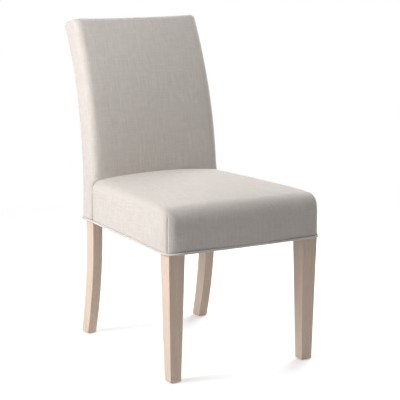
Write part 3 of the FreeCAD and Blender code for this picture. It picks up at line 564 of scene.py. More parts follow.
@dataclass(frozen=True)
class Woven(Finish):
    """Woven cloth whose threads vary between two colours."""

    light: Colour
    dark: Colour
    pitch: float
    pattern: Pattern = Pattern.CLOTH
    sheen: float = 0.15
    relief: float = 0.00035
    slub_height: float = 0.6
    # painted shade: the colour that seams and creases are darkened toward, and how far
    dark_seam: Colour = (0.22, 0.20, 0.185)
    seam_shade_strength: float = 0.45
    seam_depth: float = 4.0

    def seam(self, graph: Graph) -> object:
        """How strongly painted seam shade darkens each point; plain cloth has none."""
        return 0.0

    def paint(self, graph: Graph) -> None:
        """Colour from slubs and heather, darkened by painted shade in the weave's hollows and along seams;
        relief from the threads.

        Args:
            graph: The material's graph.
        """
        vector = graph.vector_of(self.pattern)
        weave = graph.group(weave_group(), Vector=vector, Pitch=self.pitch).outputs
        tone = graph.math("MULTIPLY_ADD", weave["Slub"], 0.55, graph.math("MULTIPLY", weave["Heather"], 0.45))
        thread = graph.mix(graph.span(tone, 0.2, 0.8), self.dark, self.light)
        # painted shade: colour darkened where the weave is low, in the hollows between threads
        hollow_shade = graph.span(weave["Height"], 0.0, 0.45, 0.86, 1.0)
        colour = graph.node("HueSaturation", {"Value": hollow_shade, "Color": thread}).outputs[0]
        seam = self.seam(graph)
        # painted shade: darkens the colour along seams and along the back's crease
        colour = graph.mix(graph.math("MULTIPLY", seam, self.seam_shade_strength), colour, self.dark_seam)
        height = graph.math("MULTIPLY_ADD", weave["Slub"], self.slub_height, weave["Height"])
        height = graph.math("MULTIPLY_ADD", seam, -self.seam_depth, height)
        rough = graph.span(weave["Slub"], 0.0, 1.0, 0.96, 0.86)
        graph.surface(
            Base_Color=colour, Roughness=rough, Normal=graph.bump(height, self.relief),
            Specular_IOR_Level=0.2, Sheen_Weight=self.sheen, Sheen_Roughness=0.5
        )


class Linen(Woven):
    """The chair's upholstery linen."""


class SeamShadedLinen(Woven):
    """The same linen with sewn seams, with painted shade: a dark line along each seam's groove and along the
    back's crease beside the seat.
    """

    def seam(self, graph: Graph) -> object:
        """exp(-(d / SEAM_LINE)^2) of the seam attribute's distance d, times its strength: the weight of the
        painted shade.

        Args:
            graph: The material's graph.

        Returns:
            How strongly the painted seam shade darkens each point.
        """
        stored = graph.node("Attribute", attribute_name=SEAM_SHADE).outputs["Vector"]
        distance, shown, _ = graph.node("SeparateXYZ", {"Vector": stored}).outputs
        away = graph.math("DIVIDE", distance, SEAM_LINE)
        line = graph.math("EXPONENT", graph.math("MULTIPLY", graph.math("MULTIPLY", away, away), -1.0))
        return graph.math("MULTIPLY", line, shown)


class HighlightedPiping(Woven):
    """The same linen cut on the bias round the welt's cord, coloured lighter as a painted highlight."""


@dataclass(frozen=True)
class Wood(Finish):
    """Sawn and sanded wood with its grain along Z, or along the axis that turned lays there."""

    light: Colour
    dark: Colour
    pore: Colour
    roughness: float = 0.62
    relief: float = 0.00012
    along_x: bool = False

    def paint(self, graph: Graph) -> None:
        """Growth bands and streaks between two colours, with pores of a third.

        Args:
            graph: The material's graph.
        """
        vector = graph.vector_of(Pattern.OBJECT)
        if self.along_x:
            vector = graph.node("Mapping", {"Vector": vector, "Rotation": (0.0, math.pi / 2, 0.0)}).outputs[0]
        grain = graph.group(grain_group(), Vector=vector).outputs
        bands, streaks, pores = grain["Bands"], grain["Streaks"], grain["Pores"]
        tone = graph.math("MULTIPLY_ADD", bands, 0.45, graph.math("MULTIPLY", streaks, 0.55))
        colour = graph.mix(tone, self.dark, self.light)
        colour = graph.mix(graph.math("MULTIPLY", pores, 0.5), colour, self.pore)
        height = graph.math("MULTIPLY_ADD", pores, -1.0, graph.math("MULTIPLY", streaks, 0.3))
        rough = graph.span(streaks, 0.0, 1.0, self.roughness + 0.08, self.roughness - 0.06)
        relief = graph.bump(height, self.relief)
        graph.surface(Base_Color=colour, Roughness=rough, Normal=relief, Specular_IOR_Level=0.35)


@dataclass(frozen=True)
class Felt(Finish):
    """Pressed or bonded fibre, such as a dust cover or hardboard."""

    light: Colour
    dark: Colour
    roughness: float = 0.95
    fibre: float = 900.0
    relief: float = 0.0002

    def paint(self, graph: Graph) -> None:
        """Crossing fibres in fine noise, over a broad mottle.

        Args:
            graph: The material's graph.
        """
        vector = graph.vector_of(Pattern.OBJECT)
        fibre = graph.noise(vector, (self.fibre, self.fibre * 0.3, self.fibre), 3.0)
        mottle = graph.noise(vector, (35.0, 35.0, 35.0), 3.0)
        tone = graph.math("MULTIPLY_ADD", fibre, 0.6, graph.math("MULTIPLY", mottle, 0.4))
        colour = graph.mix(graph.span(tone, 0.35, 0.65), self.dark, self.light)
        rough = graph.span(fibre, 0.3, 0.7, self.roughness - 0.1, self.roughness)
        relief = graph.bump(fibre, self.relief)
        graph.surface(Base_Color=colour, Roughness=rough, Normal=relief, Specular_IOR_Level=0.2)


@dataclass(frozen=True)
class Moulded(Finish):
    """Moulded plastic or drawn metal, dulled by fine scratches."""

    colour: Colour
    worn: Colour
    roughness: float
    metallic: float = 0.0
    relief: float = 0.00003

    def paint(self, graph: Graph) -> None:
        """Worn patches and hair scratches.

        Args:
            graph: The material's graph.
        """
        vector = graph.vector_of(Pattern.OBJECT)
        patches = graph.span(graph.noise(vector, (160.0, 160.0, 160.0), 4.0), 0.42, 0.7)
        scratches = graph.noise(vector, (2600.0, 180.0, 700.0), 2.0)
        colour = graph.mix(patches, self.colour, self.worn)
        rough = graph.span(scratches, 0.3, 0.7, self.roughness - 0.08, self.roughness + 0.1)
        relief = graph.bump(scratches, self.relief)
        graph.surface(Base_Color=colour, Roughness=rough, Metallic=self.metallic, Normal=relief)


LINEN_LIGHT: Colour = (0.66, 0.612, 0.57)
LINEN_DARK: Colour = (0.555, 0.512, 0.473)
LINEN = Linen("linen_cloth", LINEN_LIGHT, LINEN_DARK, 0.0011)
SEAM_SHADED_LINEN = SeamShadedLinen("linen_cloth", LINEN_LIGHT, LINEN_DARK, 0.0011)
# painted highlight: the piping's colours are lighter than the linen it is cut from
HIGHLIGHTED_PIPING = HighlightedPiping("linen_cloth", (0.73, 0.68, 0.635), (0.615, 0.57, 0.53), 0.0011, sheen=0.3)
LEG_OAK = Wood("leg_oak", (0.70, 0.56, 0.455), (0.56, 0.435, 0.345), (0.76, 0.68, 0.60))
BEECH = Wood("frame_beech", (0.62, 0.43, 0.27), (0.50, 0.33, 0.19), (0.40, 0.25, 0.14), 0.7, along_x=True)
CAMBRIC = Felt("cambric", (0.035, 0.034, 0.034), (0.012, 0.012, 0.012))
HARDBOARD = Felt("fibreboard", (0.30, 0.19, 0.10), (0.20, 0.12, 0.06), 0.6, 500.0)
JUTE = Woven("jute_webbing", (0.48, 0.33, 0.18), (0.30, 0.20, 0.10), 0.0022, Pattern.OBJECT, 0.1, 0.0006)
ELASTIC = Woven("elastic_webbing", (0.16, 0.14, 0.12), (0.07, 0.06, 0.05), 0.0012, Pattern.OBJECT, 0.1)
HESSIAN = Woven("hessian", (0.50, 0.38, 0.23), (0.34, 0.25, 0.14), 0.0018, Pattern.OBJECT, 0.1, 0.0005)
GLIDE = Moulded("glide_plastic", (0.055, 0.048, 0.042), (0.10, 0.09, 0.08), 0.45)
STEEL = Moulded("zinc_steel", (0.60, 0.60, 0.58), (0.45, 0.44, 0.42), 0.35, 1.0)


# The upholstery's outer form

@dataclass(frozen=True)
class ChairForm:
    """Sizes that the seat, the back and the welt share."""

    front_half: float = 0.2535
    crease_half: float = 0.2247
    back_half: float = 0.2230
    back_top_half: float = 0.21225
    corner_radius: float = 0.034
    crease_bend: float = 0.150
    rear_radius: float = 0.008
    thickness: float = 0.082
    sweep_radius: float = 1.000
    sweep_start: float = 0.450
    top_slope: float = math.radians(14.5)
    front_y: float = field(default_factory=lambda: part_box("seat_cover")[0][1])
    crease_y: float = field(default_factory=lambda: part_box("seat_cover")[1][1])
    crest: float = field(default_factory=lambda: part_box("seat_cover")[1][2])
    welt_bottom: float = field(default_factory=lambda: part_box("bottom_welt")[0][2])
    top: float = field(default_factory=lambda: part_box("inside_back_cover")[1][2])

    @property
    def bottom(self) -> float:
        """Lower edge of the covers, behind the welt."""
        return self.welt_bottom + 0.0025

    @property
    def rear_y(self) -> float:
        """Outside back, below the sweep."""
        return self.crease_y + self.thickness

    def seat_half(self, y: Array) -> Array:
        """Half the seat's width at a depth, along its straight slanting side."""
        share = (y - self.front_y) / (self.crease_y - self.front_y)
        return self.front_half + share * (self.crease_half - self.front_half)

    def slab_half(self, z: Array) -> Array:
        """Half the slab's width at a height."""
        share = (z - self.welt_bottom) / (self.top - self.welt_bottom)
        return self.back_half + share * (self.back_top_half - self.back_half)

    def sweep(self, cover: Array, angle: Array) -> Array:
        """A line of the back, on an arc about the sweep's centre.

        Args:
            cover: Depth of the line from the outside back.
            angle: Angles from the start of the sweep.

        Returns:
            Points (y, z).
        """
        radius = self.sweep_radius + cover
        y = self.rear_y + self.sweep_radius - radius * np.cos(angle)
        return np.stack([y, self.sweep_start + radius * np.sin(angle)], axis=-1)

    def sweep_angle(self, cover: float, z: float) -> float:
        """Angle at which a line of the sweep reaches a height."""
        return math.asin((z - self.sweep_start) / (self.sweep_radius + cover))


@dataclass(frozen=True)
class Filling:
    """Swells a cover as its filling does, by a short cloth simulation under inside pressure."""

    voxel: float = 0.006
    pressure: float = 4.0
    limit: float = 0.0014
    frames: int = 20
    stiffness: float = 25.0
    smoothings: int = 5

    def remesh(self, piece: bpy.types.Object) -> None:
        """Even quads over the whole piece, evened out on the form that they came from.

        Args:
            piece: The cover.
        """
        pattern = bpy.data.objects.new("pattern", piece.data.copy())
        bpy.context.scene.collection.objects.link(pattern)
        voxels = piece.modifiers.new("even_quads", "REMESH")
        voxels.mode = "VOXEL"
        voxels.voxel_size = self.voxel
        voxels.use_smooth_shade = True
        smoothing = piece.modifiers.new("smoothing", "SMOOTH")
        smoothing.factor = 0.5
        smoothing.iterations = self.smoothings
        wrap = piece.modifiers.new("onto_the_form", "SHRINKWRAP")
        wrap.target = pattern
        wrap.wrap_method = "NEAREST_SURFACEPOINT"
        baked(piece)
        form = pattern.data
        bpy.data.objects.remove(pattern)
        bpy.data.meshes.remove(form)

    def swell(self, piece: bpy.types.Object, held: Callable[[Array], Array]) -> None:
        """Simulates the cover and keeps each point within the limit of where it began.

        Args:
            piece: The cover, remeshed.
            held: Function of the points that gives how firmly each is held, from 0 to 1.
        """
        before = coordinates(piece.data)
        weights = held(before)
        group = piece.vertex_groups.new(name="held")
        group.add(np.flatnonzero(weights > 0.5).tolist(), 1.0, "REPLACE")
        cloth = piece.modifiers.new("cloth", "CLOTH")
        cloth.settings.quality = 5
        cloth.settings.mass = 0.4
        cloth.settings.tension_stiffness = self.stiffness
        cloth.settings.compression_stiffness = self.stiffness
        cloth.settings.bending_stiffness = 2.0
        cloth.settings.use_pressure = True
        cloth.settings.uniform_pressure_force = self.pressure
        cloth.settings.effector_weights.gravity = 0.0
        cloth.settings.vertex_group_mass = "held"
        cloth.collision_settings.use_collision = False
        cloth.point_cache.frame_start = 1
        cloth.point_cache.frame_end = self.frames
        for step in range(1, self.frames + 1):
            bpy.context.scene.frame_set(step)
        baked(piece)
        bpy.context.scene.frame_set(1)
        moved = coordinates(piece.data) - before
        length = np.linalg.norm(moved, axis=1, keepdims=True)
        share = np.minimum(1.0, self.limit / np.maximum(length, 1e-9))
        place(piece.data, before + moved * share)
        piece.vertex_groups.clear()

    def refine(self, piece: bpy.types.Object) -> None:
        """One subdivision after the simulation.

        Args:
            piece: The cover.
        """
        finer = piece.modifiers.new("finer", "SUBSURF")
        finer.levels = 1
        finer.render_levels = 1
        baked(piece)

    def apply(self, piece: bpy.types.Object, held: Callable[[Array], Array]) -> None:
        """Args:
            piece: The cover.
            held: Function of the points that gives how firmly each is held, from 0 to 1.
        """
        self.remesh(piece)
        self.swell(piece, held)
        self.refine(piece)


def uneven(points: Array, size: float) -> Array:
    """Slow unevenness of hand-laid padding: two products of crossed sine waves.

    Args:
        points: Places, three columns.
        size: Most that it comes to.

    Returns:
        Height at each point.
    """
    x, y, z = points.T
    first = np.sin(23.0 * x + 9.0 * y + 1.3) * np.sin(17.0 * y - 21.0 * z + 0.4)
    second = np.sin(41.0 * x - 33.0 * z + 2.1) * np.sin(37.0 * y + 12.0 * x + 0.9)
    return size * (0.65 * first + 0.35 * second)


@dataclass
class SeatCushion:
    """The padded seat: one cover over the crown and down the front, sewn at both front corners."""

    form: ChairForm
    crest_place: float = 0.55
    front_fall: float = 0.018
    rear_fall: float = 0.0015
    roll_radius: float = 0.055
    roll_sweep: float = math.radians(84)
    front_drop: float = 0.003
    crown_drop: float = 0.011
    front_edge: float = 0.016
    crease_edge: float = 0.030
    seam_angle: float = math.radians(33)
    seam_top: float = 0.482
    seam_depth: float = 0.0014
    seam_width: float = 0.0026
    ridge_height: float = 0.0008
    ridge_place: float = 0.0055
    ridge_width: float = 0.003
    groove_fade: float = 0.03
    # where the painted seam shade fades out below the top, and how far round the corner it reaches
    line_fade: float = 0.012
    seam_reach: float = 0.02
    inner_radius: float = 0.018
    tuck_radius: float = 0.008
    unevenness: float = 0.0005
    crease_gap: float = 0.001
    face_rows: int = 12
    roll_rows: int = 16
    top_rows: int = 34
    edge_columns: int = 10
    top_columns: int = 31

    def crest_height(self, y: Array) -> Array:
        """Height of the seat's middle line: it falls by a power of 2.5 to the front and 2 to the rear.

        Args:
            y: Depths.

        Returns:
            Heights.
        """
        share = (y - self.form.front_y) / (self.form.crease_y - self.form.front_y)
        ahead = np.clip((self.crest_place - share) / self.crest_place, 0, None)
        behind = np.clip((share - self.crest_place) / (1 - self.crest_place), 0, None)
        return self.form.crest - self.front_fall * ahead ** 2.5 - self.rear_fall * behind ** 2

    @property
    def roll_end(self) -> float:
        """Depth where the roll passes into the top."""
        return self.form.front_y + self.roll_radius * (1 - math.cos(self.roll_sweep))

    @property
    def shoulder(self) -> float:
        """Height where the front face passes into the roll."""
        top = float(self.crest_height(np.array(self.roll_end)))
        return top - self.roll_radius * math.sin(self.roll_sweep)

    def side_path(self) -> tuple[Array, Array, Array]:
        """The seat's middle line from the front's lower edge over the roll to the rear.

        Returns:
            Points (y, z), inward normals (y, z) and how far each point has turned, from 0 to 1.
        """
        form = self.form
        face_z = np.linspace(form.bottom, self.shoulder, self.face_rows, endpoint=False)
        turn = np.linspace(0.0, self.roll_sweep, self.roll_rows)
        top_y = np.linspace(self.roll_end, form.crease_y - self.crease_gap, self.top_rows)[1:]
        y = np.concatenate([
            np.full(face_z.size, form.front_y),
            form.front_y + self.roll_radius * (1 - np.cos(turn)),
            top_y,
        ])
        roll_z = self.shoulder + self.roll_radius * np.sin(turn)
        z = np.concatenate([face_z, roll_z, self.crest_height(top_y)])
        turned = np.concatenate([np.zeros(face_z.size), turn, np.full(top_y.size, math.pi / 2)])
        inward = np.stack([np.cos(turned), -np.sin(turned)], axis=-1)
        return np.stack([y, z], axis=-1), inward, np.clip(turned / self.roll_sweep, 0, 1)

    def surface(self) -> Array:
        """The crown, the roll and the rounded edges as one grid.

        Across, a point lies at x = (W - e) + e sin t on an edge and on a parabola of x between
        the edges; it sinks below the middle line by e (1 - cos t) plus the crown's drop.

        Returns:
            Points, row by row from the front's lower edge to the rear.
        """
        path, inward, turned = self.side_path()
        form = self.form
        share = np.clip((path[:, 0] - form.front_y) / (form.crease_y - form.front_y), 0, 1)
        corner = form.corner_radius
        blend = smooth_step(turned)
        edge = corner + blend * (self.front_edge + share * (self.crease_edge - self.front_edge) - corner)
        crowned = blend * np.sin(math.pi * np.minimum(share, 0.5))
        drop = self.front_drop + crowned * (self.crown_drop - self.front_drop)
        edge, drop = edge[:, None], drop[:, None]
        t = np.linspace(math.pi / 2, 0.0, self.edge_columns)
        across = np.linspace(-1.0, 1.0, self.top_columns)[1:-1]
        kind = np.concatenate([-1 - t, across, 1 + t[::-1]])
        theta = np.clip(np.abs(kind) - 1, 0, None)[None, :]
        flat = np.clip(kind, -1, 1)[None, :]
        depth = edge * (1 - np.cos(theta)) + drop * flat ** 2
        y = path[:, :1] + inward[:, :1] * depth
        z = path[:, 1:] + inward[:, 1:] * depth
        half = form.seat_half(y) - edge
        x = flat * half + np.sign(flat) * edge * np.sin(theta)
        return np.stack([x, y, z], axis=-1)

    def tuck(self, ring: Array) -> Array:
        """Five rings that carry the rear edge into the crease on a quarter circle.

        At a turn t they lie r sin t further back and are drawn in by r (1 - cos t).

        Args:
            ring: The edge, from its lower left over the top to its lower right.

        Returns:
            The rings.
        """
        turn = np.linspace(0.0, math.pi / 2, 6)[1:, None]
        drawn = self.tuck_radius * (1 - np.cos(turn))
        x = ring[:, 0] * (1 - drawn / ring[-1, 0])
        y = ring[:, 1] + self.tuck_radius * np.sin(turn)
        z = ring[:, 2] - drawn * (ring[:, 2] - self.form.bottom) / (self.form.crest - self.form.bottom)
        return np.stack([x, y, z], axis=-1)

    def shell(self) -> bpy.types.Object:
        """Closes the grid with two side walls, a flat underside and a rear that is tucked in.

        Returns:
            The seat as one closed piece.
        """
        grid = self.surface()
        rows, columns = grid.shape[:2]
        side = float(self.form.seat_half(grid[-1, 0, 1]))
        rear = grid[-1, 0, 1]
        apexes = np.array([[-side, rear, self.form.bottom], [side, rear, self.form.bottom]])
        left, right = rows * columns, rows * columns + 1
        index = numbered(rows, columns)
        faces = grid_quads(index).tolist()
        faces += [[a, b, left] for a, b in zip(index[1:, 0], index[:-1, 0])]
        faces += [[a, b, right] for a, b in zip(index[:-1, -1], index[1:, -1])]
        faces.append([*index[0], right, left])
        tuck = self.tuck(np.concatenate([apexes[:1], grid[-1], apexes[1:]]))
        rings = np.concatenate([[[left, *index[-1], right]], right + 1 + numbered(*tuck.shape[:2])])
        faces += grid_quads(rings, closed=True).tolist()
        faces.append(rings[-1])
        points = np.concatenate([grid.reshape(-1, 3), apexes, tuck.reshape(-1, 3)])
        return new_piece("seat_upholstery", points, faces)

    def held(self, points: Array) -> Array:
        """The lower edge and the rear wall stay put."""
        return (points[:, 2] < self.form.bottom + 0.006) | (points[:, 1] > self.form.crease_y - 0.008)

    def round_corner(self, points: Array) -> tuple[Array, Array, Array]:
        """Each point against its nearer front corner, whose cover bends about an upright line.

        Args:
            points: Points of the cover.

        Returns:
            Offset from that line (x, y), its length, and the distance round the corner from the seam.
        """
        form = self.form
        out_x = np.abs(points[:, 0]) - form.front_half + form.corner_radius
        out = np.stack([out_x, form.front_y + form.corner_radius - points[:, 1]], axis=-1)
        around = form.corner_radius * (np.arctan2(out[:, 1], out[:, 0]) - self.seam_angle)
        return out, np.linalg.norm(out, axis=1), around

    def on_outside(self, radius: Array) -> Array:
        """1 on a corner's cover and 0 inside it, by the distance from the corner's line."""
        return smooth_step((radius - self.inner_radius) / 0.008)

    def sewn(self, points: Array) -> Array:
        """Draws the cover in along both corner seams.

        The groove is depth * exp(-(d / width)^2), d being the distance round the corner from the
        seam, and a low ridge of the seam allowance lies beside it.

        Args:
            points: Points of the cover.

        Returns:
            The points, drawn in.
        """
        out, radius, around = self.round_corner(points)
        near = self.on_outside(radius) * smooth_step((self.seam_top - points[:, 2]) / self.groove_fade)
        groove = self.seam_depth * np.exp(-(around / self.seam_width) ** 2)
        ridge = self.ridge_height * np.exp(-((around - self.ridge_place) / self.ridge_width) ** 2)
        inward = -out / np.maximum(radius, 1e-6)[:, None] * (near * (groove - ridge))[:, None]
        result = points.copy()
        result[:, 0] += np.sign(points[:, 0]) * inward[:, 0]
        result[:, 1] -= inward[:, 1]
        return result

    def seam_shade_map(self, points: Array) -> Array:
        """How far each point lies from the nearest corner seam, for the painted shade along it.

        Args:
            points: Points of the cover.

        Returns:
            Distance, how strongly the painted seam shade shows there, and 0.
        """
        _, radius, around = self.round_corner(points)
        below_top = smooth_step((self.seam_top - points[:, 2]) / self.line_fade)
        shown = below_top * self.on_outside(radius) * (np.abs(around) < self.seam_reach)
        return np.stack([around, shown, np.zeros_like(shown)], axis=-1)

    def on_cloth(self, points: Array) -> Array:
        """Where each point lies on its cloth, unrolled over the front.

        Args:
            points: Points of the cover.

        Returns:
            Distance across and along, and 0.
        """
        form = self.form
        x, y, z = points.T
        centre_y = form.front_y + self.roll_radius
        turn = np.clip(np.arctan2(z - self.shoulder, centre_y - y), 0.0, self.roll_sweep)
        top_along = self.shoulder + self.roll_radius * self.roll_sweep + y - self.roll_end
        rolled = np.where(z < self.shoulder, z, self.shoulder + self.roll_radius * turn)
        along = np.where(y > self.roll_end, top_along, rolled)
        below = np.clip(self.crest_height(y) - z, 0.0, None)
        out_x = np.abs(x) - (form.front_half - form.corner_radius)
        out_y = form.front_y + form.corner_radius - y
        beside = (np.arctan2(out_y, out_x) < self.seam_angle) & (out_x > 0) & (z < self.seam_top)
        sideways = np.where(beside | (y > self.roll_end), below, np.clip(y - form.front_y, 0, None))
        along = np.where(beside, top_along, along)
        return np.stack([np.sign(x) * (np.abs(x) + sideways), along, np.zeros_like(x)], axis=-1)

    def build(self) -> bpy.types.Object:
        """Models, fills, sews and dresses the seat.

        Returns:
            The seat.
        """
        seat = self.shell()
        Filling().apply(seat, self.held)
        points = coordinates(seat.data)
        cloth_map(seat, self.on_cloth(points))
        # painted shade along the corner seams
        point_map(seat, SEAM_SHADE, self.seam_shade_map(points))
        points = self.sewn(points) + normals(seat.data) * uneven(points, self.unevenness)[:, None]
        place(seat.data, points)
        dress(seat, SEAM_SHADED_LINEN, ["seat_cover", "seat_wadding", "seat_foam", "front_rail_padding"])
        return seat


@dataclass
class BackSlab:
    """The padded back: a slab swept backward, with a flat top that falls to the rear."""

    form: ChairForm
    top_front_radius: float = 0.014
    top_rear_radius: float = 0.008
    top_side_radius: float = 0.005
    front_edge: float = 0.022
    low_edge: float = 0.018
    # painted shade on the back's side where it meets the seat: width, offset, top and strength
    crease_shade: float = 0.0095
    crease_shade_offset: float = 0.0075
    crease_shade_top: float = 0.498
    crease_shade_strength: float = 1.3
    rear_edge: float = 0.008
    crown: float = 0.004
    top_dip: float = 0.0036
    full_from: float = 0.434
    full_over: float = 0.1
    low_rows: int = 6
    sweep_rows: int = 30
    top_rows: int = 7
    edge_columns: int = 7
    crown_columns: int = 27
    unevenness: float = 0.0004
    panel_margin: float = 0.009
    panel_top_margin: float = 0.014
    panel_sunk: float = 0.0035
    panel_rise: float = 0.0052
    panel_bulge: float = 0.0016
    panel_hem: float = 0.005
    panel_thickness: float = 0.004

    def top_angle(self, cover: float, depth: float) -> float:
        """Angle at which a line of the sweep meets the sloping top.

        Args:
            cover: Depth of the line from the outside back.
            depth: Distance that the top is lowered by.

        Returns:
            The angle from the start of the sweep.
        """
        form = self.form
        slope = form.top_slope
        front_cover = form.thickness - self.top_front_radius
        angle = form.sweep_angle(front_cover, form.top - self.top_front_radius)
        y, z = form.sweep(np.array(front_cover), np.array(angle))
        rise = self.top_front_radius - depth
        y, z = y + rise * math.sin(slope), z + rise * math.cos(slope)
        centre_y = form.rear_y + form.sweep_radius
        level = math.cos(slope) * (z - form.sweep_start) - math.sin(slope) * (centre_y - y)
        return slope + math.asin(level / (form.sweep_radius + cover))

    def stations(self) -> tuple[Array, Array, Array, Array]:
        """Sections of the slab from its lower edge to the top.

        Returns:
            Rear and front points (y, z) of each section, its half width and its edge radius.
        """
        form = self.form
        low_z = np.linspace(form.bottom, form.sweep_start, self.low_rows, endpoint=False)
        rear = np.stack([np.full(self.low_rows, form.rear_y), low_z], axis=-1)
        front = np.stack([np.full(self.low_rows, form.crease_y), low_z], axis=-1)
        front_cover = form.thickness - self.top_front_radius
        front_angle = form.sweep_angle(front_cover, form.top - self.top_front_radius)
        rear_angle = self.top_angle(self.top_rear_radius, self.top_rear_radius)
        share = np.linspace(0.0, 1.0, self.sweep_rows)
        rear = np.concatenate([rear, form.sweep(0.0, share * rear_angle)])
        front = np.concatenate([front, form.sweep(form.thickness, share * front_angle)])
        half = form.slab_half((rear[:, 1] + front[:, 1]) / 2)
        tuck = np.linspace(0.0, 1.0, self.top_rows)[1:]
        top_turn = math.pi / 2 + form.top_slope
        front_turn = front_angle + tuck * (top_turn - front_angle)
        rear_turn = rear_angle + math.pi + tuck * (top_turn - rear_angle - math.pi)
        front_centre = form.sweep(front_cover, front_angle)
        rear_centre = form.sweep(self.top_rear_radius, rear_angle)
        front_arc = np.stack([-np.cos(front_turn), np.sin(front_turn)], axis=-1)
        rear_arc = np.stack([-np.cos(rear_turn), np.sin(rear_turn)], axis=-1)
        top_front = front_centre + self.top_front_radius * front_arc
        top_rear = rear_centre + self.top_rear_radius * rear_arc
        drawn = self.top_side_radius * (1 - np.cos(tuck * math.pi / 2))
        half = np.concatenate([half, form.slab_half(form.top) - drawn])
        front, rear = np.concatenate([front, top_front]), np.concatenate([rear, top_rear])
        full = smooth_step((front[:, 1] - self.full_from) / self.full_over)
        edge = self.low_edge + full * (self.front_edge - self.low_edge)
        edge[-tuck.size:] -= drawn
        return rear, front, half, edge

    def surface(self) -> Array:
        """Closed sections from the lower edge to the top, as one grid.

        A section is a rectangle of width 2W between its rear and front points, with arcs of its
        edge radii at the corners and a front that is crowned by a parabola of x.

        Returns:
            Points, one closed section after another.
        """
        rear, front, half, edge = self.stations()
        span = np.linalg.norm(front - rear, axis=1)
        along = (front - rear) / span[:, None]
        t = np.linspace(0.0, math.pi / 2, self.edge_columns)
        one, zero = np.ones(t.size), np.zeros(t.size)
        crown_u = np.linspace(1.0, -1.0, self.crown_columns)[1:-1]
        ones, zeros = np.ones(crown_u.size), np.zeros(crown_u.size)
        inner = self.rear_edge
        sign = np.concatenate([one, one, np.sign(crown_u), -one, -one])
        flat = np.concatenate([one, one, np.abs(crown_u), one, one])
        rear_turn = np.concatenate([np.sin(t), one, zeros, one, np.sin(t)[::-1]])
        rear_rise = np.concatenate([1 - np.cos(t), one, ones, one, (1 - np.cos(t))[::-1]])
        front_turn = np.concatenate([one, np.cos(t), ones, np.cos(t)[::-1], one])
        front_rise = np.concatenate([zero, np.sin(t), ones, np.sin(t)[::-1], zero])
        is_front = np.concatenate([zero, one, ones, one, zero])
        radius = is_front * edge[:, None] + (1 - is_front) * inner
        turn = is_front * front_turn + (1 - is_front) * rear_turn
        width = half[:, None]
        on_crown = np.concatenate([zero, zero, ones, zero, zero])
        u_edge = width - radius * (1 - turn)
        u = sign * np.where(on_crown > 0, flat * (width - edge[:, None]), u_edge)
        low = rear_rise * inner
        depth = np.where(is_front > 0, span[:, None] - edge[:, None] * (1 - front_rise), low)
        full = smooth_step((front[:, 1] - self.full_from) / self.full_over)[:, None]
        crown = (self.crown * full) * (u / width) ** 2 * is_front
        v = depth - crown
        y = rear[:, :1] + along[:, :1] * v
        z = rear[:, 1:] + along[:, 1:] * v
        return np.stack([u, y, z], axis=-1)

    def shell(self) -> bpy.types.Object:
        """Closes the grid at its lower edge and at the top."""
        grid = self.surface()
        return new_piece("back_upholstery", grid, stack_faces(*grid.shape[:2]))

    def held(self, points: Array) -> Array:
        """The lower edge stays put."""
        return points[:, 2] < self.form.bottom + 0.006

    def shaped(self, points: Array) -> Array:
        """Lets the top edge dip between its corners by a parabola of x.

        Args:
            points: Points of the cover.

        Returns:
            The points, raised or lowered near the top.
        """
        rise = smooth_step((points[:, 2] - 0.90) / 0.06)
        across = np.clip(points[:, 0] / self.form.back_top_half, -1, 1) ** 2
        result = points.copy()
        result[:, 2] += rise * self.top_dip * (across - 0.5)
        return result

    def on_cloth(self, points: Array) -> Array:
        """Where each point lies on its cloth.

        Args:
            points: Points of the cover.

        Returns:
            Distance across and along the sweep, and 0.
        """
        form = self.form
        x, y, z = points.T
        centre_y = form.rear_y + form.sweep_radius
        angle = np.clip(np.arctan2(z - form.sweep_start, centre_y - y), 0.0, None)
        radius = np.hypot(z - form.sweep_start, centre_y - y)
        cover = np.where(z > form.sweep_start, radius - form.sweep_radius, form.rear_y - y)
        swept = form.sweep_start + (form.sweep_radius + form.thickness) * angle
        along = np.where(z > form.sweep_start, swept, z)
        behind = np.clip(form.thickness - cover, 0.0, None)
        across = np.sign(x) * (np.abs(x) + behind)
        return np.stack([across, along, np.zeros_like(x)], axis=-1)

    def seam_shade_map(self, points: Array) -> Array:
        """How far each point lies from the crease beside the seat, for painted shade on the back's side
        there.

        Args:
            points: Points of the cover.

        Returns:
            Distance, on the scale of a seam's line, how strongly the painted shade shows there, and 0.
        """
        away = (points[:, 1] - self.form.crease_y - self.crease_shade_offset) / self.crease_shade * SEAM_LINE
        beside = smooth_step((self.crease_shade_top - points[:, 2]) / 0.02) * (np.abs(points[:, 0]) > 0.19)
        return np.stack([away, self.crease_shade_strength * beside, np.zeros_like(away)], axis=-1)

    def build(self) -> bpy.types.Object:
        """Models, fills and dresses the back.

        Returns:
            The back.
        """
        slab = self.shell()
        Filling().apply(slab, self.held)
        points = self.shaped(coordinates(slab.data))
        cloth_map(slab, self.on_cloth(points))
        # painted shade along the crease beside the seat
        point_map(slab, SEAM_SHADE, self.seam_shade_map(points))
        place(slab.data, points + normals(slab.data) * uneven(points, self.unevenness)[:, None])
        dress(slab, SEAM_SHADED_LINEN, ["inside_back_cover", "back_wadding", "back_foam"])
        return slab

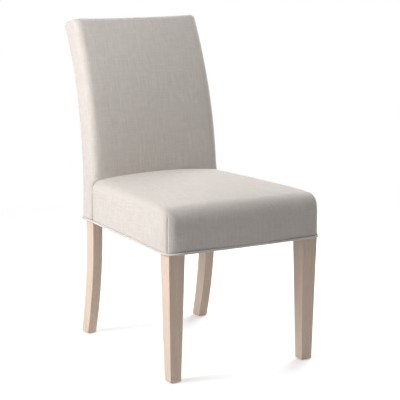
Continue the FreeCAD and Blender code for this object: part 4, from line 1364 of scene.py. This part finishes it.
    def outside_panel(self) -> bpy.types.Object:
        """The outside back's own panel, blind-sewn all round over a thin padding.

        It stands proud by a height that rises from below the slab's surface at the hem as
        1 - exp(-d / hem), d being the distance to the nearest edge, plus a low bulge.

        Returns:
            The panel.
        """
        form = self.form
        top = self.top_angle(0.0, self.panel_top_margin)
        straight = form.sweep_start - form.bottom
        length = straight + form.sweep_radius * top
        along = np.linspace(0.002, length, 120)
        angle = np.clip((along - straight) / form.sweep_radius, 0, None)
        line = form.sweep(np.zeros(along.size), angle)
        line[:, 1] = np.where(along < straight, form.bottom + along, line[:, 1])
        outward = np.stack([np.cos(angle), -np.sin(angle)], axis=-1)
        half = form.slab_half(line[:, 1]) - self.panel_margin
        across = np.sin(np.linspace(-math.pi / 2, math.pi / 2, 80))[None, :]
        x = across * half[:, None]
        side = half[:, None] - np.abs(x)
        hem = np.minimum(side, (length - along)[:, None])
        bulge = np.cos(across * math.pi / 2) * np.sin(math.pi * np.clip(along / length, 0, 1))[:, None]
        rise = self.panel_rise * (1 - np.exp(-hem / self.panel_hem))
        proud = rise - self.panel_sunk + self.panel_bulge * bulge
        y = line[:, :1] + outward[:, :1] * proud
        z = line[:, 1:] + outward[:, 1:] * proud
        grid = np.stack([x, y, z], axis=-1)
        quads = grid_quads(numbered(*grid.shape[:2]))
        panel = new_piece("outside_back_panel", grid, quads, closed=False)
        cloth_map(panel, np.stack([x, np.broadcast_to(along[:, None], x.shape), 0 * x], axis=-1))
        if normals(panel.data)[:, 1].mean() < 0:
            panel.data.flip_normals()
        thicken(panel, "padding", self.panel_thickness)
        dress(panel, LINEN, ["outside_back_cover", "outside_back_padding"])
        return panel


@dataclass
class Welt:
    """Piped cord round the lower edge of the seat and back."""

    form: ChairForm
    radius: float = 0.0032
    proud: float = 0.0029
    step: float = 0.004
    sides: int = 12
    gather: float = 0.03
    gather_waves: tuple[float, float] = (190.0, 71.0)

    def outline(self, inset: float) -> Array:
        """Plan outline of the covers' lower edge, with an arc at each corner.

        Args:
            inset: Distance that it is drawn in by.

        Returns:
            Points (x, y) in even steps round the closed line.
        """
        form = self.form
        front = (float(form.seat_half(np.array(form.front_y + inset))) - inset, form.front_y + inset)
        crease = (form.crease_half - inset, form.crease_y)
        rear = (form.back_half - inset, form.rear_y - inset)
        right = np.array([rear, crease, front])
        corners = np.concatenate([right, right[::-1] * np.array([-1.0, 1.0])])
        radii = [form.rear_radius - inset, form.crease_bend, form.corner_radius - inset]
        radii = np.array(radii + radii[::-1])
        back = unit(np.roll(corners, 1, axis=0) - corners)
        ahead = unit(np.roll(corners, -1, axis=0) - corners)
        half = np.arccos(np.clip((back * ahead).sum(axis=1), -1, 1)) / 2
        middle = unit(back + ahead)
        centre = corners + middle * (radii / np.sin(half))[:, None]
        share = np.linspace(-1.0, 1.0, 17)
        swing = (math.pi / 2 - half)[:, None] * share
        aside = unit(ahead - middle * (ahead * middle).sum(axis=1, keepdims=True))
        arcs = centre[:, None] + radii[:, None, None] * (
            -middle[:, None] * np.cos(swing)[..., None] + aside[:, None] * np.sin(swing)[..., None]
        )
        points = arcs.reshape(-1, 2)
        loop = np.concatenate([points, points[:1]])
        steps = np.linalg.norm(np.diff(loop, axis=0), axis=1)
        length = np.concatenate([[0.0], np.cumsum(steps)])
        even = np.arange(0.0, length[-1], length[-1] / round(length[-1] / self.step))
        return np.stack([np.interp(even, length, loop[:, i]) for i in (0, 1)], axis=-1)

    def build(self) -> bpy.types.Object:
        """Carries a round section along the outline; its cloth lies at 45 degrees.

        Returns:
            The welt.
        """
        inset = self.radius - self.proud
        line = self.outline(inset)
        forward = tangents(line)
        outward = np.stack([-forward[:, 1], forward[:, 0]], axis=-1)
        run = np.arange(len(line)) * self.step
        turn = ring_angles(self.sides)
        short, long = self.gather_waves
        gathered = 1 + self.gather * np.sin(run * short) * np.sin(run * long + 1.0)
        radius = self.radius * gathered[:, None]
        x = line[:, :1] + outward[:, :1] * radius * np.cos(turn)
        y = line[:, 1:] + outward[:, 1:] * radius * np.cos(turn)
        z = self.form.welt_bottom + self.radius + radius * np.sin(turn)
        grid = np.stack([x, y, z], axis=-1)
        faces = grid_quads(numbered(len(line), self.sides), closed=True, looped=True)
        welt = new_piece("welt_highlightedpiping", grid, faces)
        s, w = np.meshgrid(run, self.radius * turn, indexing="ij")
        cloth_map(welt, np.stack([(s + w) * math.sqrt(0.5), (s - w) * math.sqrt(0.5), 0 * s], axis=-1))
        dress(welt, HIGHLIGHTED_PIPING, ["bottom_welt"])
        return welt


# Legs and what stands on the floor

def rounded_rectangle(half_x: Array, half_y: Array, radius: Array, steps: int = 5) -> Array:
    """Rectangles with arcs at their corners: corner centre + r (cos t, sin t).

    Args:
        half_x: Half of each rectangle's width.
        half_y: Half of its depth.
        radius: Radius of its corners.
        steps: Points on each arc.

    Returns:
        Points (x, y), one row per rectangle.
    """
    quarter = np.linspace(0.0, math.pi / 2, steps)
    turn = np.concatenate([quarter + i * math.pi / 2 for i in range(4)])
    side_x = np.repeat([1.0, -1.0, -1.0, 1.0], steps)
    side_y = np.repeat([1.0, 1.0, -1.0, -1.0], steps)
    x = (half_x - radius)[:, None] * side_x + radius[:, None] * np.cos(turn)
    y = (half_y - radius)[:, None] * side_y + radius[:, None] * np.sin(turn)
    return np.stack([x, y], axis=-1)


def capped(name: str, grid: Array) -> bpy.types.Object:
    """A closed piece from stacked sections with flat ends and soft edges.

    Args:
        name: The piece's name.
        grid: Points, one closed section after another.

    Returns:
        The piece.
    """
    piece = new_piece(name, grid, stack_faces(*grid.shape[:2]))
    piece.data.set_sharp_from_angle(angle=math.radians(40))
    weighted = piece.modifiers.new("flat_faces", "WEIGHTED_NORMAL")
    weighted.keep_sharp = True
    return piece


@dataclass
class Legs:
    """Front legs tapered on four sides, and rear legs sawn in one with the back posts."""

    form: ChairForm
    front_x: float = 0.2177
    front_setback: float = 0.0375
    front_top: float = 0.0502
    front_foot: float = 0.0340
    shoulder: float = 0.3642
    glide: float = 0.0025
    rail_top: float = 0.4343
    rear_x: float = 0.1990
    rear_setback: float = 0.0383
    rear_width: float = 0.0320
    rear_foot_width: float = 0.0290
    rear_depth: float = 0.0460
    rear_foot_depth: float = 0.0415
    kick: float = 0.0485
    kick_start: float = 0.334
    post_depth: float = 0.0290
    post_blend: float = 0.14
    post_gap: float = 0.016
    arris: float = 0.0016
    hidden_arris: float = 0.0085
    foot_bevel: float = 0.0010
    glide_sides: int = 28

    def front(self, side: float) -> bpy.types.Object:
        """One front leg.

        Args:
            side: 1 on the sitter's left and -1 on the right.

        Returns:
            The leg.
        """
        hidden = self.shoulder + 0.003
        levels = np.array([self.glide, self.glide + self.foot_bevel, self.shoulder, hidden, self.rail_top])
        share = np.clip((levels - self.glide) / (self.shoulder - self.glide), 0, 1)
        half = (self.front_foot + share * (self.front_top - self.front_foot)) / 2
        half[0] -= self.foot_bevel
        section = rounded_rectangle(half, half, np.where(levels < hidden, self.arris, self.hidden_arris))
        centre_y = self.form.front_y + self.front_setback
        x = section[..., 0] + side * self.front_x
        z = np.broadcast_to(levels[:, None], x.shape)
        name = "front_leg_turnout_left" if side > 0 else "front_leg_turnout_right"
        return capped(name, np.stack([x, section[..., 1] + centre_y, z], axis=-1))

    def kicked(self, level: Array, top_y: float, foot_y: float) -> Array:
        """Depth of a leg's edge on an arc that stands upright where the kick starts.

        Args:
            level: Heights.
            top_y: Depth above the kick.
            foot_y: Depth at the foot.

        Returns:
            Depth at each height.
        """
        drop, kick = self.kick_start - self.glide, foot_y - top_y
        radius = (drop ** 2 + kick ** 2) / (2 * kick)
        below = np.clip(self.kick_start - level, 0, None)
        return top_y + radius - np.sqrt(radius ** 2 - below ** 2)

    def rear(self, side: float) -> bpy.types.Object:
        """One rear leg with its post.

        Args:
            side: 1 on the sitter's left and -1 on the right.

        Returns:
            The leg.
        """
        form = self.form
        centre = form.rear_y - self.rear_setback
        front_y, rear_y = centre - self.rear_depth / 2, centre + self.rear_depth / 2
        foot = centre + self.kick
        z = np.concatenate([
            [self.glide, self.glide + self.foot_bevel], np.linspace(0.012, self.kick_start, 26),
            [self.shoulder, self.rail_top, self.rail_top + 0.01],
        ])
        front = np.stack([self.kicked(z, front_y, foot - self.rear_foot_depth / 2), z], axis=-1)
        rear = np.stack([self.kicked(z, rear_y, foot + self.rear_foot_depth / 2), z], axis=-1)
        cover = self.rear_setback - self.rear_depth / 2
        start = form.sweep_angle(cover, self.rail_top + self.post_blend)
        end = form.sweep_angle(cover + self.post_depth, form.top - self.post_gap)
        angles = np.linspace(start, end, 14)
        front = np.concatenate([front, form.sweep(cover + self.post_depth, angles)])
        rear = np.concatenate([rear, form.sweep(cover, angles)])
        middle, along = (front + rear) / 2, (rear - front) / 2
        half_depth = np.linalg.norm(along, axis=1)
        share = np.clip((middle[:, 1] - self.glide) / (self.shoulder - self.glide), 0, 1)
        half_width = (self.rear_foot_width + share * (self.rear_width - self.rear_foot_width)) / 2
        bevel = np.zeros(len(middle))
        bevel[0] = self.foot_bevel
        arris = np.full(len(middle), self.arris)
        section = rounded_rectangle(half_width - bevel, half_depth - bevel, arris)
        lean = np.clip((middle[:, 1] - self.rail_top) / (form.top - self.rail_top), 0, 1)
        centre_x = self.rear_x - lean * (form.back_half - form.back_top_half)
        unit = along / half_depth[:, None]
        x = section[..., 0] + side * centre_x[:, None]
        y = middle[:, :1] + unit[:, :1] * section[..., 1]
        height = middle[:, 1:] + unit[:, 1:] * section[..., 1]
        name = "rear_leg_post_left" if side > 0 else "rear_leg_post_right"
        return capped(name, np.stack([x, y, height], axis=-1))

    def feet(self) -> Array:
        """Middles of the four feet, on the floor.

        Returns:
            Points, the front feet first.
        """
        front_y = self.form.front_y + self.front_setback
        rear_y = self.form.rear_y - self.rear_setback + self.kick
        return np.array([
            [self.front_x, front_y, 0.0], [-self.front_x, front_y, 0.0],
            [self.rear_x, rear_y, 0.0], [-self.rear_x, rear_y, 0.0],
        ])

    def glides(self) -> bpy.types.Object:
        """Nail-on discs with a worn rounded rim.

        Returns:
            All four as one piece.
        """
        radii = np.array([0.0, 8.6, 10.0, 10.7, 11.0, 11.0, 10.6, 1.2, 1.2, 0.0]) * 0.001
        heights = np.array([0.0, 0.0, 0.25, 0.7, 1.3, 2.1, 2.5, 2.5, 15.6, 16.5]) * 0.001
        points, quads = revolved(radii, heights, np.zeros(3), self.glide_sides)
        everywhere = self.feet()[:, None, :] + points[None, :, :]
        glides = new_piece("glide_discs", everywhere, repeated(quads, len(points), 4))
        glides.data.set_sharp_from_angle(angle=math.radians(50))
        dress(glides, GLIDE, ["floor_glides"])
        return glides

    def build(self) -> None:
        """All four legs and their glides."""
        for side, word in ((1.0, "left"), (-1.0, "right")):
            dress(self.front(side), LEG_OAK, ["front_leg_" + word])
            dress(self.rear(side), LEG_OAK, ["rear_leg_" + word])
        self.glides()


@dataclass
class Underside:
    """Black dust cover stapled under the seat frame."""

    form: ChairForm
    legs: Legs
    inset: float = 0.014
    level: float = 0.3651
    sag: float = 0.0030
    ripple: float = 0.0004
    slack_half: float = 0.205
    taut_margin: float = 0.03
    blend_from: float = 0.10
    blend_over: float = 0.30
    leg_gap: float = 0.003
    front_rows: int = 8
    middle_rows: int = 54
    notch_share: float = 0.86
    cloth_thickness: float = 0.0005
    staple_pitch: float = 0.034
    staple_width: float = 0.0105
    staple_inset: float = 0.006
    staple_clearance: float = 0.036

    def grid_lines(self) -> tuple[Array, Array]:
        """Lines of the cloth's grid, with one at every edge of the leg notches.

        Returns:
            Shares across and depths along.
        """
        form, legs = self.form, self.legs
        front_notch = form.front_y + legs.front_setback + legs.front_top / 2 + self.leg_gap
        rear_notch = form.rear_y - legs.rear_setback - legs.rear_depth / 2 - self.leg_gap
        front, rear = form.front_y + self.inset, form.rear_y - self.inset
        y = np.concatenate([
            np.linspace(front, front_notch, self.front_rows, endpoint=False),
            np.linspace(front_notch, rear_notch, self.middle_rows, endpoint=False),
            np.linspace(rear_notch, rear, 8),
        ])
        return np.linspace(-1, 1, 61), y

    def cover(self) -> bpy.types.Object:
        """The cloth: flat at its stapled edges, sagging between them by roots of the distances from them.

        Returns:
            The dust cover.
        """
        form, legs, split = self.form, self.legs, self.notch_share
        across, y = self.grid_lines()
        depth = y[:, None]
        outer = np.where(y < form.crease_y, form.seat_half(y), form.back_half)[:, None] - self.inset
        front_inner = legs.front_x - legs.front_top / 2 - self.leg_gap
        rear_inner = legs.rear_x - legs.rear_width / 2 - self.leg_gap
        blend = smooth_step((y - form.front_y - self.blend_from) / self.blend_over)[:, None]
        inner = front_inner + blend * (rear_inner - front_inner)
        share = np.abs(across)[None, :]
        beyond = inner + (share - split) / (1 - split) * (outer - inner)
        x = np.sign(across)[None, :] * np.where(share < split, share / split * inner, beyond)
        middle_y, half_y = (y[0] + y[-1]) / 2, (y[-1] - y[0]) / 2
        sideways = np.clip(1 - np.abs(x) / self.slack_half, 0, 1)
        lengthways = np.clip(1 - np.abs(depth - middle_y) / (half_y - self.taut_margin), 0, 1)
        soft = sideways ** 0.5 * lengthways ** 0.5
        ripple = self.ripple * np.sin(70 * x + 11 * depth) * np.sin(55 * depth + 0.6)
        z = self.level - self.sag * soft - ripple * soft
        grid = np.stack([x, np.broadcast_to(depth, x.shape), z], axis=-1)
        quads = grid_quads(numbered(*x.shape))
        centre = grid.reshape(-1, 3)[quads].mean(axis=1)
        front_notch, rear_notch = y[self.front_rows], y[self.front_rows + self.middle_rows]
        at_edge = np.abs(np.broadcast_to(across, x.shape).reshape(-1)[quads]).mean(axis=1) > split
        kept = ~(at_edge & ((centre[:, 1] < front_notch) | (centre[:, 1] > rear_notch)))
        quads = quads[kept]
        used, compact = np.unique(quads, return_inverse=True)
        cover = new_piece("dust_cover_cloth", grid.reshape(-1, 3)[used], compact.reshape(-1, 4), closed=False)
        if normals(cover.data)[:, 2].mean() > 0:
            cover.data.flip_normals()
        thicken(cover, "cloth", self.cloth_thickness)
        dress(cover, CAMBRIC, ["dust_cover"])
        return cover

    def staples(self) -> bpy.types.Object:
        """Rows of wire staples just inside the dust cover's edges.

        Each is a square wire carried along a bent line, which lies along the edge.

        Returns:
            All of them as one piece.
        """
        line = Welt(self.form, step=self.staple_pitch).outline(self.inset + self.staple_inset)
        forward = tangents(line)
        feet = self.legs.feet()[:, :2].copy()
        feet[2:, 1] -= self.legs.kick
        clear = np.abs(line[:, None] - feet[None]).max(axis=2).min(axis=1) > self.staple_clearance
        line, forward = line[clear], forward[clear]
        bend = np.array([[-0.5, 2.2], [-0.5, 0.2], [-0.46, 0.0], [0.46, 0.0], [0.5, 0.2], [0.5, 2.2]])
        bend = bend * np.array([self.staple_width, 0.001])
        wire = np.array([[0.5, 0.35], [-0.5, 0.35], [-0.5, -0.35], [0.5, -0.35]]) * 0.001
        inward = np.stack([-forward[:, 1], forward[:, 0]], axis=-1)
        along = line[:, None, None] + forward[:, None, None] * bend[None, :, None, :1]
        xy = along + inward[:, None, None] * wire[None, None, :, :1]
        z = self.level - 0.0007 + bend[None, :, None, 1:] + wire[None, None, :, 1:]
        grid = np.concatenate([xy, np.broadcast_to(z, xy.shape[:3] + (1,))], axis=-1)
        numbers = numbered(len(bend), len(wire))
        one = np.concatenate([grid_quads(numbers, closed=True), numbers[:1], numbers[-1:, ::-1]])
        staples = new_piece("dust_cover_staples", grid, repeated(one, numbers.size, len(line)))
        staples.data.set_sharp_from_angle(angle=math.radians(30))
        dress(staples, STEEL)
        return staples

    def build(self) -> None:
        """The cloth and its staples."""
        self.cover()
        self.staples()


@dataclass
class HiddenFrame:
    """CAD nodes that keep their own shape and get a finish."""

    finishes: dict[str, Finish] = field(default_factory=lambda: {
        "front_seat_rail": BEECH, "rear_seat_rail": BEECH,
        "side_seat_rail_left": BEECH, "side_seat_rail_right": BEECH,
        "back_bottom_rail": BEECH, "back_middle_rail": BEECH, "back_top_rail": BEECH,
        "corner_block_front_left": BEECH, "corner_block_front_right": BEECH,
        "corner_block_rear_left": BEECH, "corner_block_rear_right": BEECH,
        "corner_block_screws": STEEL, "outside_back_board": HARDBOARD,
        "seat_webbing_lengthwise": JUTE, "seat_webbing_crosswise": JUTE,
        "back_webbing": ELASTIC, "seat_platform_cloth": HESSIAN,
    })

    def build(self) -> None:
        """Puts each finish on its node."""
        for name, finish in self.finishes.items():
            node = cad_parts[name]
            node.data.materials.clear()
            node.data.materials.append(finish.material())
            log.info("%s: finish %s", name, finish.slot)


# Floor, light and camera

@dataclass(frozen=True)
class Lamp:
    """A square soft light that hangs at a place and faces a point."""

    name: str
    place: Place
    aim: Place
    size: float
    power: float

    def hang(self) -> None:
        """Adds the light to the scene and turns its face to the point."""
        light = bpy.data.lights.new(self.name, "AREA")
        light.size = self.size
        light.energy = self.power
        lamp = bpy.data.objects.new(self.name, light)
        lamp.location = self.place
        toward = np.array(self.aim) - np.array(self.place)
        flat = math.hypot(toward[0], toward[1])
        lamp.rotation_euler = (math.atan2(flat, -toward[2]), 0.0, math.atan2(-toward[0], toward[1]))
        bpy.context.scene.collection.objects.link(lamp)


LAMPS = (
    Lamp("key_left", (-1.9, 0.2, 1.5), (0.0, 0.0, 0.7), 0.8, 21.5),
    Lamp("fill_left", (-1.6, -0.1, 1.2), (0.0, 0.0, 0.7), 0.8, 7.0),
    Lamp("low_left", (-2.4, -0.15, 0.5), (0.0, -0.05, 0.4), 0.9, 15.5),
    Lamp("overhead", (-0.45, -0.45, 2.1), (0.0, 0.0, 0.5), 1.2, 11.5),
    Lamp("rim_right", (2.4, 0.4, 1.4), (0.0, 0.0, 0.5), 1.2, 18.0),
    Lamp("rim_rear", (1.8, 1.2, 1.6), (0.0, 0.0, 0.5), 1.2, 38.5),
)


@dataclass
class Studio:
    """Pale floor, soft light from the left and the photograph's point of view."""

    eye: Place = (-2.0534, -3.6184, 1.2200)
    turned: float = math.radians(30.261)
    lowered: float = math.radians(10.635)
    lens: float = 127.81
    ambient: float = 0.245
    floor_reach: float = 2.6
    floor_lift: float = 0.36

    def camera(self) -> None:
        """The photograph's view."""
        lens = bpy.data.cameras.new("photo_view")
        lens.lens = self.lens
        lens.sensor_width = 36.0
        eye = bpy.data.objects.new("photo_view", lens)
        eye.location = self.eye
        eye.rotation_euler = (math.pi / 2 - self.lowered, 0.0, -self.turned)
        bpy.context.scene.collection.objects.link(eye)
        bpy.context.scene.camera = eye

    def world(self) -> None:
        """White where it is seen or mirrored, and a soft ambient light elsewhere."""
        world = bpy.data.worlds.new("studio")
        world.use_nodes = True
        graph = Graph(world.node_tree)
        path = graph.node("LightPath").outputs
        seen = graph.math("MAXIMUM", path["Is Camera Ray"], path["Is Glossy Ray"])
        seen = graph.math("MAXIMUM", seen, path["Is Transmission Ray"])
        strength = graph.span(seen, 0.0, 1.0, self.ambient, 1.0)
        sky = graph.node("Background", {"Color": (1.0, 1.0, 1.0, 1.0), "Strength": strength})
        output = graph.node("OutputWorld")
        graph.tree.links.new(sky.outputs[0], output.inputs["Surface"])
        bpy.context.scene.world = world

    def floor(self) -> None:
        """A pale disc that fades into the white surroundings."""
        reach = self.floor_reach
        radii = np.array([0.0, 0.5, 1.0]) * reach
        floor = new_piece("studio_floor", *revolved(radii, np.zeros(3), np.zeros(3), 64), closed=False)
        if normals(floor.data)[:, 2].mean() < 0:
            floor.data.flip_normals()
        material = bpy.data.materials.new("studio_floor")
        material.use_nodes = True
        graph = Graph(material.node_tree)
        vector = graph.vector_of(Pattern.OBJECT)
        far = graph.node("VectorMath", operation="LENGTH")
        graph.feed(far.inputs[0], vector)
        fade = graph.span(far.outputs["Value"], 0.45 * reach, 0.9 * reach)
        speck = graph.noise(vector, (300.0, 300.0, 300.0), 2.0)
        pale = graph.mix(speck, (0.80, 0.80, 0.80), (0.84, 0.84, 0.84))
        matt = graph.node("BsdfDiffuse", {"Color": pale})
        seen = graph.node("LightPath").outputs["Is Camera Ray"]
        lift = graph.node("Emission", {"Strength": graph.math("MULTIPLY", seen, self.floor_lift)})
        both = graph.node("AddShader")
        graph.tree.links.new(matt.outputs[0], both.inputs[0])
        graph.tree.links.new(lift.outputs[0], both.inputs[1])
        clear = graph.node("BsdfTransparent")
        mixed = graph.node("MixShader", {"Fac": fade})
        graph.tree.links.new(both.outputs[0], mixed.inputs[1])
        graph.tree.links.new(clear.outputs[0], mixed.inputs[2])
        output = graph.node("OutputMaterial")
        graph.tree.links.new(mixed.outputs[0], output.inputs["Surface"])
        floor.data.materials.append(material)

    def build(self) -> None:
        """Camera, world, floor and lamps."""
        self.camera()
        self.world()
        self.floor()
        for lamp in LAMPS:
            lamp.hang()
        bpy.context.scene.view_settings.view_transform = "Standard"


def main() -> None:
    """Builds the chair piece by piece and sets up the studio."""
    logging.basicConfig(level=logging.INFO, format="%(name)s: %(message)s")
    form = ChairForm()
    Studio().build()
    legs = Legs(form)
    HiddenFrame().build()
    legs.build()
    Underside(form, legs).build()
    SeatCushion(form).build()
    back = BackSlab(form)
    back.build()
    back.outside_panel()
    Welt(form).build()


if __name__ == "__main__":
    main()
